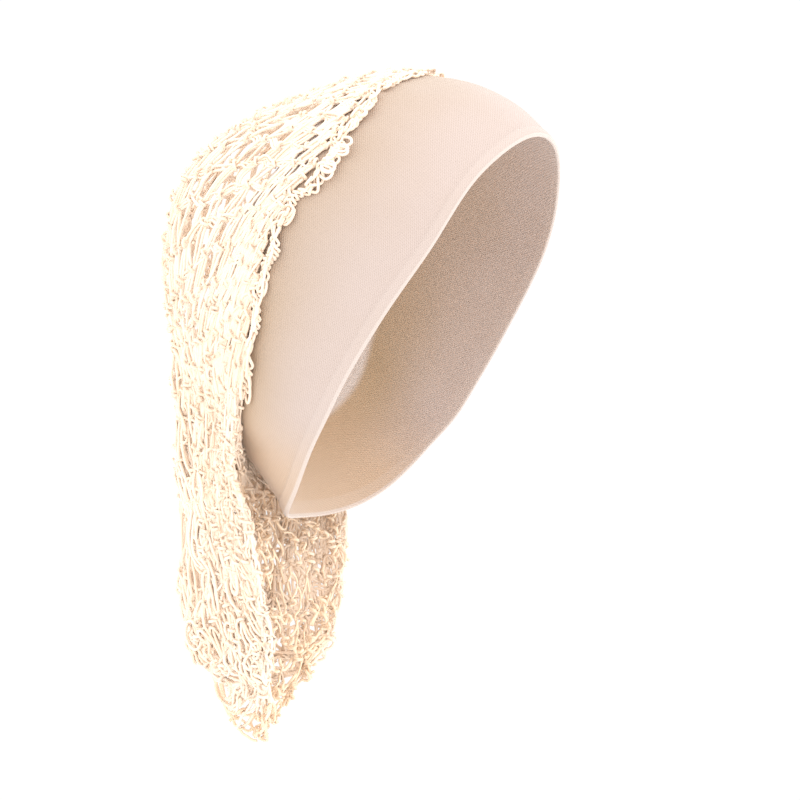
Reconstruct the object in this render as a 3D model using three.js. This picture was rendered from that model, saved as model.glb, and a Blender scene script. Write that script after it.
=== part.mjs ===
// Crocheted snood hair cap: a wide stretch-knit headband and an openwork net bag that hangs behind the neck.
// Millimetres, +Z up. The wearer faces -Y, so the wearer's right side is towards -X.
// The origin is the inside top of the cap, where the crown of the head sits.
// The worn cap fits closely round a head form, which the band and the net are laid on.

import * as THREE from 'three';

// Inside of the worn cap
const HEAD_LENGTH = 196;
const HEAD_BREADTH = 150;
const CROWN_TO_NAPE = 200;
const HEAD_CENTRE_DOWN = 0.45;

// Headband
const CAP_TILT = 53;
const BAND_WIDTH = 84;
const BAND_WALL = 1.6;
const HEM_WIDTH = 4.5;
const HEM_WALL = 2.4;
const HEM_ROUNDING = 0.8;
const BAND_FOLD_HEIGHT = 1.6;
const BAND_STEPS = 56;

// Net bag
const NET_OVERLAP = 16;
const NET_WALL = 1.5;
const NET_SLACK = 5;
const SLACK_AT_NAPE = 0.4;
const BAG_REACH = 114;
const BAG_DROP = 303;
const BAG_BREADTH = 102;
const MESH_COLUMNS = 15;
const MESH_ROWS = 8;
const MESH_GAP_WIDTH = 0.64;
const MESH_GAP_LENGTH = 1.54;
const GATHER_HEIGHT = 1.4;
const NAPE_EASE = 1.2;
const NAPE_STARTS = 110;
const NAPE_ENDS = 150;
const CRUMPLE_HEIGHT = 2.2;
const CRUMPLE_FOLDS = 7;
const CRUMPLE_SLANT = 4;
const UNDERSIDE_PLUMP = 1.2;
const SIDE_BULGE = 130;
const SIDE_RISE = 1.35;

// Crocheted edging along the seam, and the gathered centre that closes the bag
const EDGING_REACH = 126;
const EDGING_RADIUS = 1.7;
const EDGING_WAVE = 2;
const EDGING_RISE = 0.7;
const EDGING_SCALLOPS = 40;
const EDGING_SIDES = 5;
const EDGING_STEPS_PER_SCALLOP = 4;
const CENTRE_WALL = 3;
const CENTRE_DOME = 3;
const CENTRE_CIRCLES = [1, 0.6, 0.25];

// Air between pieces that lie on each other
const PIECE_GAP = 0.4;

// Shares of the way along the net, from the seam: where it has left the seam's line, where its slack is full,
// and where it turns limp. The seam lies at a share of the way across the band, and the axis of the bag at a
// share of BAG_REACH.
const SEAM_LEFT = 0.3;
const SLACK_FULL = 0.25;
const BULGE_FULL = 0.2;
const LIMP_STARTS = 0.25;
const LIMP_FULL = 0.7;
const SEAM_ACROSS = 0.75;
const BAG_AXIS = 0.6;

// Horizontal sections of the head form. down is a share of CROWN_TO_NAPE, shift and length are shares of
// HEAD_LENGTH, and fullness is the breadth for that length, as a share of the same ratio of the whole head.
const HEAD_SECTIONS = [
  { down: 0, shift: 0, length: 0, fullness: 0.98 },
  { down: 0.03, shift: 0.005, length: 0.367, fullness: 0.98 },
  { down: 0.09, shift: 0.022, length: 0.62, fullness: 1 },
  { down: 0.18, shift: 0.056, length: 0.835, fullness: 1.01 },
  { down: 0.3, shift: 0.069, length: 0.964, fullness: 1.01 },
  { down: 0.45, shift: 0.069, length: 0.995, fullness: 1 },
  { down: 0.6, shift: 0.064, length: 0.949, fullness: 1.04 },
  { down: 0.75, shift: 0.054, length: 0.827, fullness: 1.13 },
  { down: 0.85, shift: 0.044, length: 0.666, fullness: 1.24 },
  { down: 1, shift: 0.023, length: 0.51, fullness: 1.31 },
  { down: 1.18, shift: 0.017, length: 0.449, fullness: 1.36 },
];

// The headband, from the forehead (around 0) over the ear (90) to the nape (180). front is the angle of its
// front edge from the cap's axis, and width is a share of BAND_WIDTH.
const BAND_SECTIONS = [
  { around: 0, front: 105.5, width: 1 },
  { around: 30, front: 109, width: 1 },
  { around: 60, front: 117.5, width: 0.97 },
  { around: 90, front: 120, width: 0.94 },
  { around: 120, front: 118.5, width: 0.79 },
  { around: 135, front: 116.5, width: 0.66 },
  { around: 150, front: 114, width: 0.6 },
  { around: 180, front: 107, width: 0.5 },
];

// Soft folds behind the ears, where the band turns in to the nape. height is a share of BAND_FOLD_HEIGHT.
const BAND_FOLDS = [
  { around: 136, spread: 9, height: 1 },
  { around: 157, spread: 7, height: 0.6 },
];

// Loops of the net bag, from the seam on the band (along 0) to the gathered centre (along 1). Each loop runs
// from the top of the bag, down its side to a fold, and round under it. Lengths back are shares of BAG_REACH,
// down of BAG_DROP, foldOut and lean of half of BAG_BREADTH. foldAt is the fold's angle round the loop, turn
// is how far the loop faces the wearer's right, in degrees, and plump squares its corners.
const BAG_LOOPS = [
  { along: 0, topBack: -0.07, topDown: -0.01, foldOut: 0.98, foldBack: 0.51, foldDown: 0.541,
    lowBack: 0.6, lowDown: 0.587, foldAt: 150, lean: 0, turn: 0, plump: 2.1 },
  { along: 0.15, topBack: 0.37, topDown: 0.003, foldOut: 1, foldBack: 0.5, foldDown: 0.62,
    lowBack: 0.553, lowDown: 0.67, foldAt: 146, lean: 0, turn: 0, plump: 2.2 },
  { along: 0.3, topBack: 0.74, topDown: 0.09, foldOut: 0.98, foldBack: 0.47, foldDown: 0.7,
    lowBack: 0.51, lowDown: 0.752, foldAt: 142, lean: 0, turn: 0, plump: 2.5 },
  { along: 0.45, topBack: 0.956, topDown: 0.228, foldOut: 0.88, foldBack: 0.455, foldDown: 0.785,
    lowBack: 0.5, lowDown: 0.845, foldAt: 141, lean: -0.03, turn: 2, plump: 2.6 },
  { along: 0.6, topBack: 0.985, topDown: 0.4, foldOut: 0.72, foldBack: 0.46, foldDown: 0.86,
    lowBack: 0.55, lowDown: 0.94, foldAt: 138, lean: -0.06, turn: 5, plump: 2.6 },
  { along: 0.75, topBack: 0.95, topDown: 0.6, foldOut: 0.58, foldBack: 0.56, foldDown: 0.915,
    lowBack: 0.62, lowDown: 1.01, foldAt: 130, lean: -0.1, turn: 12, plump: 2.6 },
  { along: 0.9, topBack: 0.965, topDown: 0.79, foldOut: 0.46, foldBack: 0.78, foldDown: 0.895,
    lowBack: 0.79, lowDown: 0.98, foldAt: 108, lean: -0.12, turn: 22, plump: 2.6 },
  { along: 1, topBack: 0.93, topDown: 0.825, foldOut: 0.22, foldBack: 0.87, foldDown: 0.86,
    lowBack: 0.855, lowDown: 0.9, foldAt: 90, lean: -0.18, turn: 30, plump: 2 },
];

const radians = THREE.MathUtils.degToRad;
const AXIS = new THREE.Vector3(0, Math.sin(radians(CAP_TILT)), Math.cos(radians(CAP_TILT)));
const FOREHEAD = new THREE.Vector3(0, -Math.cos(radians(CAP_TILT)), Math.sin(radians(CAP_TILT)));
const WEARERS_RIGHT = new THREE.Vector3(-1, 0, 0);

// Reads a column of a table at a place between its rows, along a smooth curve
function sample(rows, key, value, at, flatEnds) {
  const last = rows.length - 1;
  const slope = (i) => {
    if (i === 0 || i === last) {
      const j = Math.min(i, last - 1);
      return flatEnds ? 0 : (value(rows[j + 1]) - value(rows[j])) / (rows[j + 1][key] - rows[j][key]);
    }
    return (value(rows[i + 1]) - value(rows[i - 1])) / (rows[i + 1][key] - rows[i - 1][key]);
  };
  if (at <= rows[0][key]) return value(rows[0]) + slope(0) * (at - rows[0][key]);
  if (at >= rows[last][key]) return value(rows[last]);
  let i = 0;
  while (rows[i + 1][key] < at) i += 1;
  const span = rows[i + 1][key] - rows[i][key];
  const s = (at - rows[i][key]) / span;
  const rise = value(rows[i + 1]) - value(rows[i]);
  const a = slope(i) * span - rise;
  const b = rise - slope(i + 1) * span;
  return value(rows[i]) + rise * s + s * (1 - s) * (a * (1 - s) + b * s);
}

function headSection(z) {
  const read = (value) => sample(HEAD_SECTIONS, 'down', value, -z / CROWN_TO_NAPE, false);
  return {
    centre: read((row) => row.shift) * HEAD_LENGTH,
    halfLengthSquared: read((row) => row.length ** 2) * (HEAD_LENGTH / 2) ** 2,
    narrowness: read((row) => row.fullness) * HEAD_BREADTH / HEAD_LENGTH,
  };
}

const CENTRE_HEIGHT = -HEAD_CENTRE_DOWN * CROWN_TO_NAPE;
const HEAD_CENTRE = new THREE.Vector3(0, headSection(CENTRE_HEIGHT).centre, CENTRE_HEIGHT);

// Negative inside the head form and positive outside it
function headField(x, y, z) {
  const section = headSection(z);
  return (x / section.narrowness) ** 2 + (y - section.centre) ** 2 - section.halfLengthSquared;
}

// Distance of a point from the head form, and the direction away from it
function clearance(point) {
  const step = 0.2;
  const { x, y, z } = point;
  const normal = new THREE.Vector3(
    headField(x + step, y, z) - headField(x - step, y, z),
    headField(x, y + step, z) - headField(x, y - step, z),
    headField(x, y, z + step) - headField(x, y, z - step),
  ).divideScalar(2 * step);
  const steepness = Math.max(normal.length(), 1);
  return { distance: headField(x, y, z) / steepness, normal: normal.divideScalar(steepness) };
}

// Moves a point that lies too close to the head form out to the given distance from it
function pushOut(point, lift) {
  const tries = 12;
  const tolerance = 0.001;
  const leastSlope = 0.3;
  const longestStride = HEAD_BREADTH / 5;
  const moved = point.clone();
  for (let i = 0; i < tries; i += 1) {
    const { distance, normal } = clearance(moved);
    if (distance > lift - tolerance) break;
    const away = moved.clone().sub(HEAD_CENTRE);
    if (moved.z < HEAD_CENTRE.z) away.set(moved.x, moved.y - headSection(moved.z).centre, 0);
    away.normalize();
    const stride = (lift - distance) / Math.max(normal.dot(away), leastSlope);
    moved.addScaledVector(away, Math.min(stride, longestStride));
  }
  return moved;
}

// A point on the head form, seen from its centre under an angle from the cap's axis and an angle around it
function onHead(angle, around, lift) {
  const ray = AXIS.clone().multiplyScalar(Math.cos(radians(angle)));
  ray.addScaledVector(FOREHEAD, Math.sin(radians(angle)) * Math.cos(radians(around)));
  ray.addScaledVector(WEARERS_RIGHT, Math.sin(radians(angle)) * Math.sin(radians(around)));
  const halvings = 40;
  let near = 0;
  let far = HEAD_LENGTH;
  for (let i = 0; i < halvings; i += 1) {
    const middle = (near + far) / 2;
    const point = ray.clone().multiplyScalar(middle).add(HEAD_CENTRE);
    if (headField(point.x, point.y, point.z) < 0) near = middle;
    else far = middle;
  }
  const surface = ray.clone().multiplyScalar(near).add(HEAD_CENTRE);
  const { normal } = clearance(surface);
  return { radius: near, point: surface.addScaledVector(normal, lift), normal };
}

// Where the band's cloth lies: its place across the band is a length back from the front edge
function bandPlace(around, back) {
  const turn = Math.abs(around);
  const front = sample(BAND_SECTIONS, 'around', (row) => row.front, turn, true);
  const width = sample(BAND_SECTIONS, 'around', (row) => row.width, turn, true) * BAND_WIDTH;
  const middle = onHead(front - THREE.MathUtils.radToDeg(width / HEAD_LENGTH), around, 0).radius;
  const angle = front - THREE.MathUtils.radToDeg(back / middle);
  return { angle, width };
}

// How far the band's soft folds stand off the head, at a share of the way across it
function bandFold(around, across) {
  const heights = BAND_FOLDS.map((fold) => {
    const offset = (Math.abs(around) - fold.around) / fold.spread;
    return fold.height * Math.exp(-offset * offset);
  });
  return BAND_FOLD_HEIGHT * Math.max(...heights) * Math.sin(Math.PI * Math.min(across, 1));
}

// Closed section of the band: how far back from the front edge, as a length and a share of the width, and how
// far off the head
const BAND_PROFILE = [
  { back: 0, share: 0, lift: 0 },
  { back: 0, share: 0, lift: HEM_WALL - HEM_ROUNDING },
  { back: HEM_ROUNDING, share: 0, lift: HEM_WALL },
  { back: HEM_WIDTH, share: 0, lift: HEM_WALL },
  { back: HEM_WIDTH + HEM_ROUNDING, share: 0, lift: BAND_WALL },
  { back: 0, share: 0.22, lift: BAND_WALL },
  { back: 0, share: 0.38, lift: BAND_WALL },
  { back: 0, share: 0.54, lift: BAND_WALL },
  { back: 0, share: 0.7, lift: BAND_WALL },
  { back: 0, share: 0.85, lift: BAND_WALL },
  { back: 0, share: 1, lift: BAND_WALL },
  { back: 0, share: 1, lift: 0 },
  { back: 0, share: 0.75, lift: 0 },
  { back: 0, share: 0.5, lift: 0 },
  { back: 0, share: 0.25, lift: 0 },
];

function headband() {
  const loops = [];
  for (let i = 0; i < BAND_STEPS; i += 1) {
    const around = -180 + (360 * i) / BAND_STEPS;
    loops.push(BAND_PROFILE.map((corner) => {
      const { width } = bandPlace(around, 0);
      const back = corner.back + corner.share * width;
      const lift = corner.lift + bandFold(around, back / width);
      return onHead(bandPlace(around, back).angle, around, lift).point;
    }));
  }
  return ring(loops);
}

// A point off the band's cloth, forward of the seam where the net is sewn over the rear of the band
function seamPoint(around, forward, lift) {
  const { width } = bandPlace(around, 0);
  const back = width - NET_OVERLAP - forward;
  const cloth = BAND_WALL + bandFold(around, back / width);
  return onHead(bandPlace(around, back).angle, around, cloth + lift).point;
}

// A point on a quarter of a squared ellipse, at a share of the way along it from its high end to its wide end
function quarterLoop(wide, high, power, share) {
  const steps = 24;
  const at = (step) => {
    const angle = radians((90 * step) / steps);
    const size = (Math.cos(angle) ** power + Math.sin(angle) ** power) ** (1 / power);
    return { out: Math.sin(angle) / size, up: step === steps ? 0 : Math.cos(angle) / size };
  };
  const corners = Array.from({ length: steps + 1 }, (_, step) => at(step));
  const lengths = [0];
  for (let i = 1; i <= steps; i += 1) {
    const out = (corners[i].out - corners[i - 1].out) * wide;
    const up = (corners[i].up - corners[i - 1].up) * high;
    lengths.push(lengths[i - 1] + Math.hypot(out, up));
  }
  const wanted = share * lengths[steps];
  let i = 1;
  while (i < steps && lengths[i] < wanted) i += 1;
  const part = (wanted - lengths[i - 1]) / (lengths[i] - lengths[i - 1]);
  return {
    out: THREE.MathUtils.lerp(corners[i - 1].out, corners[i].out, part),
    up: THREE.MathUtils.lerp(corners[i - 1].up, corners[i].up, part),
  };
}

// A point on a loop of the bag, as the empty bag would hang with no head in it
function loopPoint(around, along) {
  const read = (column) => sample(BAG_LOOPS, 'along', (row) => row[column], along, false);
  const turned = Math.abs(around);
  const foldAt = read('foldAt');
  const outer = turned < foldAt;
  const wide = read('foldOut') * (BAG_BREADTH / 2);
  const back = (read(outer ? 'topBack' : 'lowBack') - read('foldBack')) * BAG_REACH;
  const down = (read(outer ? 'topDown' : 'lowDown') - read('foldDown')) * BAG_DROP;
  const share = outer ? turned / foldAt : (180 - turned) / (180 - foldAt);
  const corner = quarterLoop(wide, Math.hypot(back, down), outer ? read('plump') : UNDERSIDE_PLUMP, share);
  const bulge = outer ? SIDE_BULGE * THREE.MathUtils.smoothstep(along, 0, BULGE_FULL) * (1 - along) : 0;
  const goneBack = corner.up * back + bulge * corner.up * (1 - corner.up) ** 3;
  const risen = outer ? corner.up ** SIDE_RISE : corner.up;
  return new THREE.Vector3(-Math.sign(around) * corner.out * wide, goneBack, 0)
    .applyAxisAngle(new THREE.Vector3(0, 0, 1), radians(read('turn')))
    .add(new THREE.Vector3(read('lean') * (BAG_BREADTH / 2), read('foldBack') * BAG_REACH, 0))
    .setZ(-read('foldDown') * BAG_DROP - risen * down);
}

// Middle of the net's wall, around the bag in degrees and along it from the seam to the gathered centre
function netPoint(turned, along) {
  const around = THREE.MathUtils.euclideanModulo(turned + 180, 360) - 180;
  const { smoothstep } = THREE.MathUtils;
  const point = loopPoint(around, along);
  const nape = smoothstep(Math.abs(around), NAPE_STARTS, NAPE_ENDS);
  const rest = PIECE_GAP + NET_WALL / 2 + NAPE_EASE * nape;
  const seam = seamPoint(around, 0, rest);
  point.addScaledVector(seam.sub(loopPoint(around, 0)), 1 - smoothstep(along, 0, SEAM_LEFT));
  const limp = 2 * smoothstep(along, LIMP_STARTS, LIMP_FULL) * (1 - along);
  const wave = Math.sin(radians(CRUMPLE_FOLDS * around) + CRUMPLE_SLANT * along);
  const inward = new THREE.Vector3(0, BAG_REACH * BAG_AXIS, point.z).sub(point).normalize();
  point.addScaledVector(inward, CRUMPLE_HEIGHT * limp * wave);
  const over = THREE.MathUtils.lerp(SLACK_AT_NAPE, 1, Math.cos(radians(around / 2)) ** 2);
  const slack = NET_SLACK * over * smoothstep(along, 0, SLACK_FULL);
  return pushOut(point, BAND_WALL + bandFold(around, SEAM_ACROSS) + rest + slack);
}

function netNormal(around, along) {
  const turn = 1.5;
  const slide = 0.01;
  const ahead = Math.min(along + slide, 1);
  const behind = Math.max(along - slide, 0);
  const across = netPoint(around + turn, along).sub(netPoint(around - turn, along));
  const down = netPoint(around, ahead).sub(netPoint(around, behind));
  return down.cross(across).normalize();
}

// Corners of one lens-shaped gap, clockwise from its end nearest the centre, as shares of half its size
const GAP_CORNERS = [
  { name: 'top', across: 0, along: 1 },
  { name: 'topRight', across: 0.68, along: 0.5 },
  { name: 'right', across: 1, along: 0 },
  { name: 'lowRight', across: 0.68, along: -0.5 },
  { name: 'low', across: 0, along: -1 },
  { name: 'lowLeft', across: -0.68, along: -0.5 },
  { name: 'left', across: -1, along: 0 },
  { name: 'topLeft', across: -0.68, along: 0.5 },
];

// The net: staggered rows of lens-shaped gaps between bands of crochet, from the seam to the centre
function netBag() {
  const points = [];
  const normals = [];
  const faces = [];
  const columnTurn = 360 / MESH_COLUMNS;
  const rowStep = 1 / (MESH_ROWS + 1);
  const place = (turn, along, raise) => {
    const normal = netNormal(turn, along);
    points.push(netPoint(turn, along).addScaledVector(normal, raise));
    normals.push(normal);
    return points.length - 1;
  };
  const gaps = [];
  for (let row = 0; row < MESH_ROWS; row += 1) {
    gaps.push([]);
    for (let column = 0; column < MESH_COLUMNS; column += 1) {
      const turn = (column + (row % 2) / 2) * columnTurn;
      const middle = (row + 1) * rowStep;
      const gap = {};
      for (const corner of GAP_CORNERS) {
        const across = (corner.across * MESH_GAP_WIDTH * columnTurn) / 2;
        const along = (corner.along * MESH_GAP_LENGTH * rowStep) / 2;
        gap[corner.name] = place(turn + across, middle + along, 0);
      }
      gaps[row].push(gap);
    }
  }
  const border = (row, along, raise) => {
    const line = [];
    for (let half = 0; half < 2 * MESH_COLUMNS; half += 1) {
      const turn = (half / 2 + (row % 2) / 2) * columnTurn;
      line.push(place(turn, along, half % 2 ? raise : 0));
    }
    return line;
  };
  const seam = border(0, 0, GATHER_HEIGHT);
  const centre = border(MESH_ROWS - 1, 1, 0);
  const wrap = (index) => (index + MESH_COLUMNS) % MESH_COLUMNS;
  const quad = (a, b, c, d) => faces.push([a, b, c], [a, c, d]);
  for (let row = 0; row < MESH_ROWS; row += 1) {
    const shift = row % 2;
    for (let column = 0; column < MESH_COLUMNS; column += 1) {
      const gap = gaps[row][column];
      const next = gaps[row][wrap(column + 1)];
      if (row > 0) {
        const below = gaps[row - 1][wrap(column + shift)];
        faces.push([gap.right, below.top, gap.lowRight]);
        faces.push([gap.right, next.left, below.top]);
        faces.push([below.top, next.left, next.lowLeft]);
      } else {
        quad(gap.right, next.left, next.lowLeft, gap.lowRight);
      }
      if (row + 1 < MESH_ROWS) {
        const upRight = gaps[row + 1][wrap(column + shift)];
        const upLeft = gaps[row + 1][wrap(column + shift - 1)];
        quad(gap.top, upRight.lowLeft, upRight.low, gap.topRight);
        quad(gap.topLeft, upLeft.low, upLeft.lowRight, gap.top);
        faces.push([gap.topRight, upRight.low, gap.right]);
        faces.push([gap.right, upRight.low, next.left]);
        faces.push([upRight.low, next.topLeft, next.left]);
      } else {
        quad(gap.topRight, next.topLeft, next.left, gap.right);
      }
    }
  }
  for (let column = 0; column < MESH_COLUMNS; column += 1) {
    const beside = wrap(column + 1);
    const first = gaps[0][column];
    const firstNext = gaps[0][beside];
    quad(first.low, first.lowRight, seam[2 * column + 1], seam[2 * column]);
    faces.push([first.lowRight, firstNext.lowLeft, seam[2 * column + 1]]);
    quad(firstNext.lowLeft, firstNext.low, seam[2 * beside], seam[2 * column + 1]);
    const last = gaps[MESH_ROWS - 1][column];
    const lastNext = gaps[MESH_ROWS - 1][beside];
    quad(last.topRight, last.top, centre[2 * column], centre[2 * column + 1]);
    faces.push([lastNext.topLeft, last.topRight, centre[2 * column + 1]]);
    quad(lastNext.top, lastNext.topLeft, centre[2 * column + 1], centre[2 * beside]);
  }
  return thicken(points, normals, faces, NET_WALL);
}

// Scalloped cord of crochet that gathers the net's edge on the band, over the head from ear to ear
function netEdging() {
  const steps = EDGING_SCALLOPS * EDGING_STEPS_PER_SCALLOP;
  const forward = NET_WALL + EDGING_WAVE + EDGING_RADIUS + PIECE_GAP;
  const path = [];
  const outward = [];
  for (let i = 0; i <= steps; i += 1) {
    const around = EDGING_REACH * ((2 * i) / steps - 1);
    const wave = Math.sin((2 * Math.PI * i) / EDGING_STEPS_PER_SCALLOP + Math.PI / 4);
    const lift = PIECE_GAP + EDGING_RADIUS + EDGING_RISE * (1 + wave);
    path.push(seamPoint(around, forward + EDGING_WAVE * wave, lift));
    outward.push(clearance(path[i]).normal);
  }
  const loops = path.map((point, i) => {
    const ahead = path[Math.min(i + 1, steps)].clone().sub(path[Math.max(i - 1, 0)]).normalize();
    const up = outward[i].clone().addScaledVector(ahead, -outward[i].dot(ahead)).normalize();
    const sideways = ahead.clone().cross(up);
    return Array.from({ length: EDGING_SIDES }, (_, k) => {
      const angle = (2 * Math.PI * (k + 0.5)) / EDGING_SIDES - Math.PI / 2;
      return point.clone()
        .addScaledVector(sideways, EDGING_RADIUS * Math.cos(angle))
        .addScaledVector(up, EDGING_RADIUS * Math.sin(angle));
    });
  });
  return cord(loops);
}

// Small dome of dense crochet that closes the bag
function gatheredCentre() {
  const points = [];
  const normals = [];
  const faces = [];
  const turns = 2 * MESH_COLUMNS;
  const rim = Array.from({ length: turns }, (_, i) => netPoint(-180 + (360 * i) / turns, 1));
  const middle = rim.reduce((sum, point) => sum.add(point), new THREE.Vector3()).divideScalar(turns);
  const outward = rim[0].clone().sub(middle).cross(rim[Math.round(turns / 4)].clone().sub(middle)).normalize();
  const away = middle.clone().sub(HEAD_CENTRE);
  if (outward.dot(away) < 0) outward.negate();
  CENTRE_CIRCLES.forEach((share) => {
    rim.forEach((point, i) => {
      const arm = point.clone().sub(middle);
      const length = Math.max(arm.length() - 2 * PIECE_GAP, 0) * share;
      const height = CENTRE_DOME * (1 - share * share);
      points.push(arm.setLength(length).add(middle).addScaledVector(outward, height));
      normals.push(share === 1 ? netNormal(-180 + (360 * i) / turns, 1) : outward);
    });
  });
  points.push(middle.clone().addScaledVector(outward, CENTRE_DOME));
  normals.push(outward);
  const hub = points.length - 1;
  for (let i = 0; i < turns; i += 1) {
    const j = (i + 1) % turns;
    for (let circle = 0; circle + 1 < CENTRE_CIRCLES.length; circle += 1) {
      const here = circle * turns;
      const inside = here + turns;
      faces.push([here + i, here + j, inside + j], [here + i, inside + j, inside + i]);
    }
    const innermost = (CENTRE_CIRCLES.length - 1) * turns;
    faces.push([innermost + i, innermost + j, hub]);
  }
  return thicken(points, normals, faces, CENTRE_WALL);
}

// Gives a sheet of faces a wall: a front and a back skin, joined along every free edge
function thicken(points, normals, faces, wall) {
  const count = points.length;
  const corners = [
    ...points.map((point, i) => point.clone().addScaledVector(normals[i], wall / 2)),
    ...points.map((point, i) => point.clone().addScaledVector(normals[i], -wall / 2)),
  ];
  const [a, b, c] = faces[0].map((i) => points[i]);
  const facing = b.clone().sub(a).cross(c.clone().sub(a)).dot(normals[faces[0][0]]);
  const fronts = facing > 0 ? faces : faces.map((face) => [face[0], face[2], face[1]]);
  const edges = new Map();
  for (const face of fronts) {
    face.forEach((from, k) => edges.set(`${from} ${face[(k + 1) % 3]}`, [from, face[(k + 1) % 3]]));
  }
  const triangles = [];
  for (const [p, q, r] of fronts) {
    triangles.push([p, q, r], [p + count, r + count, q + count]);
  }
  for (const [from, to] of edges.values()) {
    if (!edges.has(`${to} ${from}`)) {
      triangles.push([to, from, from + count], [to, from + count, to + count]);
    }
  }
  return geometry(corners, triangles);
}

// Faces between closed sections that follow each other
function skin(loops, spans) {
  const size = loops[0].length;
  const triangles = [];
  for (let i = 0; i < spans; i += 1) {
    const here = i * size;
    const ahead = ((i + 1) % loops.length) * size;
    for (let k = 0; k < size; k += 1) {
      const n = (k + 1) % size;
      triangles.push([here + k, here + n, ahead + n], [here + k, ahead + n, ahead + k]);
    }
  }
  return triangles;
}

// Joins closed sections into a closed ring
function ring(loops) {
  return geometry(loops.flat(), skin(loops, loops.length));
}

// Joins closed sections into a cord with two flat ends
function cord(loops) {
  const size = loops[0].length;
  const last = (loops.length - 1) * size;
  const ends = [];
  for (let k = 1; k + 1 < size; k += 1) {
    ends.push([0, k + 1, k], [last, last + k, last + k + 1]);
  }
  return geometry(loops.flat(), [...skin(loops, loops.length - 1), ...ends]);
}

// Makes a geometry of corners and triangles, turned so that its faces point out
function geometry(corners, triangles) {
  let volume = 0;
  for (const [p, q, r] of triangles) {
    volume += corners[p].dot(corners[q].clone().cross(corners[r]));
  }
  const turned = volume > 0 ? triangles : triangles.map(([p, q, r]) => [p, r, q]);
  const result = new THREE.BufferGeometry();
  const positions = corners.flatMap((corner) => [corner.x, corner.y, corner.z]);
  result.setAttribute('position', new THREE.Float32BufferAttribute(positions, 3));
  result.setIndex(turned.flat());
  result.computeVertexNormals();
  return result;
}

function piece(name, shape, colour, roughness) {
  const material = new THREE.MeshStandardMaterial({ color: colour, roughness, metalness: 0 });
  const mesh = new THREE.Mesh(shape, material);
  mesh.name = name;
  return mesh;
}

const cap = new THREE.Group();
cap.add(piece('headband', headband(), 0xf0dccb, 0.85));
cap.add(piece('net_bag', netBag(), 0xfbefe2, 0.6));
cap.add(piece('net_edging', netEdging(), 0xfdf3e8, 0.55));
cap.add(piece('gathered_centre', gatheredCentre(), 0xf8e9d8, 0.65));

export default cap;
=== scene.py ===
"""Looks of a crocheted snood hair cap: yarn net, knitted headband, crochet edging, floor and light.

Metres, +Z up. The wearer faces -Y, so the wearer's right side is towards -X. The origin is the inside top of
the worn cap. The band and the yarns are laid on the same worn form as the CAD solids that they stand for.
"""

import math

import bpy
import numpy as np
from bpy.props import FloatProperty, FloatVectorProperty, IntProperty, PointerProperty
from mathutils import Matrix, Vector


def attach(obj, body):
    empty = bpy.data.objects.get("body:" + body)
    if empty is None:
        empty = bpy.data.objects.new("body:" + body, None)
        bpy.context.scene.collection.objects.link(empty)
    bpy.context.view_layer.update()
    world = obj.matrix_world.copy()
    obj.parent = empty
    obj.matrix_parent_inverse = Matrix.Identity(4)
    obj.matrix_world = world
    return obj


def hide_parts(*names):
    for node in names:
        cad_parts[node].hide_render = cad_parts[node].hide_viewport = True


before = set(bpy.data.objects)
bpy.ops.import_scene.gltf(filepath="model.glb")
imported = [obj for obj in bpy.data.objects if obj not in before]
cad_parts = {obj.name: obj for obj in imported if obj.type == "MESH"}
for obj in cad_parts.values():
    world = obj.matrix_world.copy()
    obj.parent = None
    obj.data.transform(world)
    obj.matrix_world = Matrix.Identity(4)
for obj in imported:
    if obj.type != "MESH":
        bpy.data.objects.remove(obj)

bl_info = {
    "name": "Crocheted Hair Net Cap",
    "version": (1, 0, 0),
    "blender": (4, 5, 0),
    "location": "View3D > Sidebar > Hair Cap",
    "description": "Builds the yarn net, the knitted headband and the edging of a worn snood",
    "category": "Object",
}

# Inside of the worn cap
HEAD_LENGTH = 0.196
HEAD_BREADTH = 0.150
CROWN_TO_NAPE = 0.200
HEAD_CENTRE_DOWN = 0.45
CAP_TILT = 53

# The band's cloth
BAND_WIDTH = 0.084
BAND_WALL = 0.0016
HEM_WIDTH = 0.0045
HEM_WALL = 0.0024
BAND_FOLD_HEIGHT = 0.0016

# The bag's hanging form
NET_OVERLAP = 0.016
NET_REST = 0.00115
NET_SLACK = 0.005
SLACK_AT_NAPE = 0.4
SLACK_FULL = 0.25
NAPE_EASE = 0.0012
NAPE_STARTS = 110
NAPE_ENDS = 150
BAG_REACH = 0.114
BAG_DROP = 0.303
BAG_BREADTH = 0.102
BAG_AXIS = 0.6
CRUMPLE_HEIGHT = 0.0022
CRUMPLE_FOLDS = 7
CRUMPLE_SLANT = 4
LIMP_STARTS = 0.25
LIMP_FULL = 0.7
UNDERSIDE_PLUMP = 1.2
SIDE_BULGE = 0.130
BULGE_FULL = 0.2
SIDE_RISE = 1.35
SEAM_LEFT = 0.3
SEAM_ACROSS = 0.75

# Horizontal sections of the worn form: share of the way down, then shift and length as shares of its whole
# length, and fullness, the breadth for that length as a share of the whole form's
HEAD_SECTIONS = {
    "down": (0, 0.03, 0.09, 0.18, 0.3, 0.45, 0.6, 0.75, 0.85, 1, 1.18),
    "shift": (0, 0.005, 0.022, 0.056, 0.069, 0.069, 0.064, 0.054, 0.044, 0.023, 0.017),
    "length": (0, 0.367, 0.62, 0.835, 0.964, 0.995, 0.949, 0.827, 0.666, 0.51, 0.449),
    "fullness": (0.98, 0.98, 1, 1.01, 1.01, 1, 1.04, 1.13, 1.24, 1.31, 1.36),
}

# The worn band: degrees around from the forehead, the angle of its front edge from the cap's axis,
# and its width as a share of the widest
BAND_SECTIONS = {
    "around": (0, 30, 60, 90, 120, 135, 150, 180),
    "front": (105.5, 109, 117.5, 120, 118.5, 116.5, 114, 107),
    "width": (1, 1, 0.97, 0.94, 0.79, 0.66, 0.6, 0.5),
}

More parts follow.
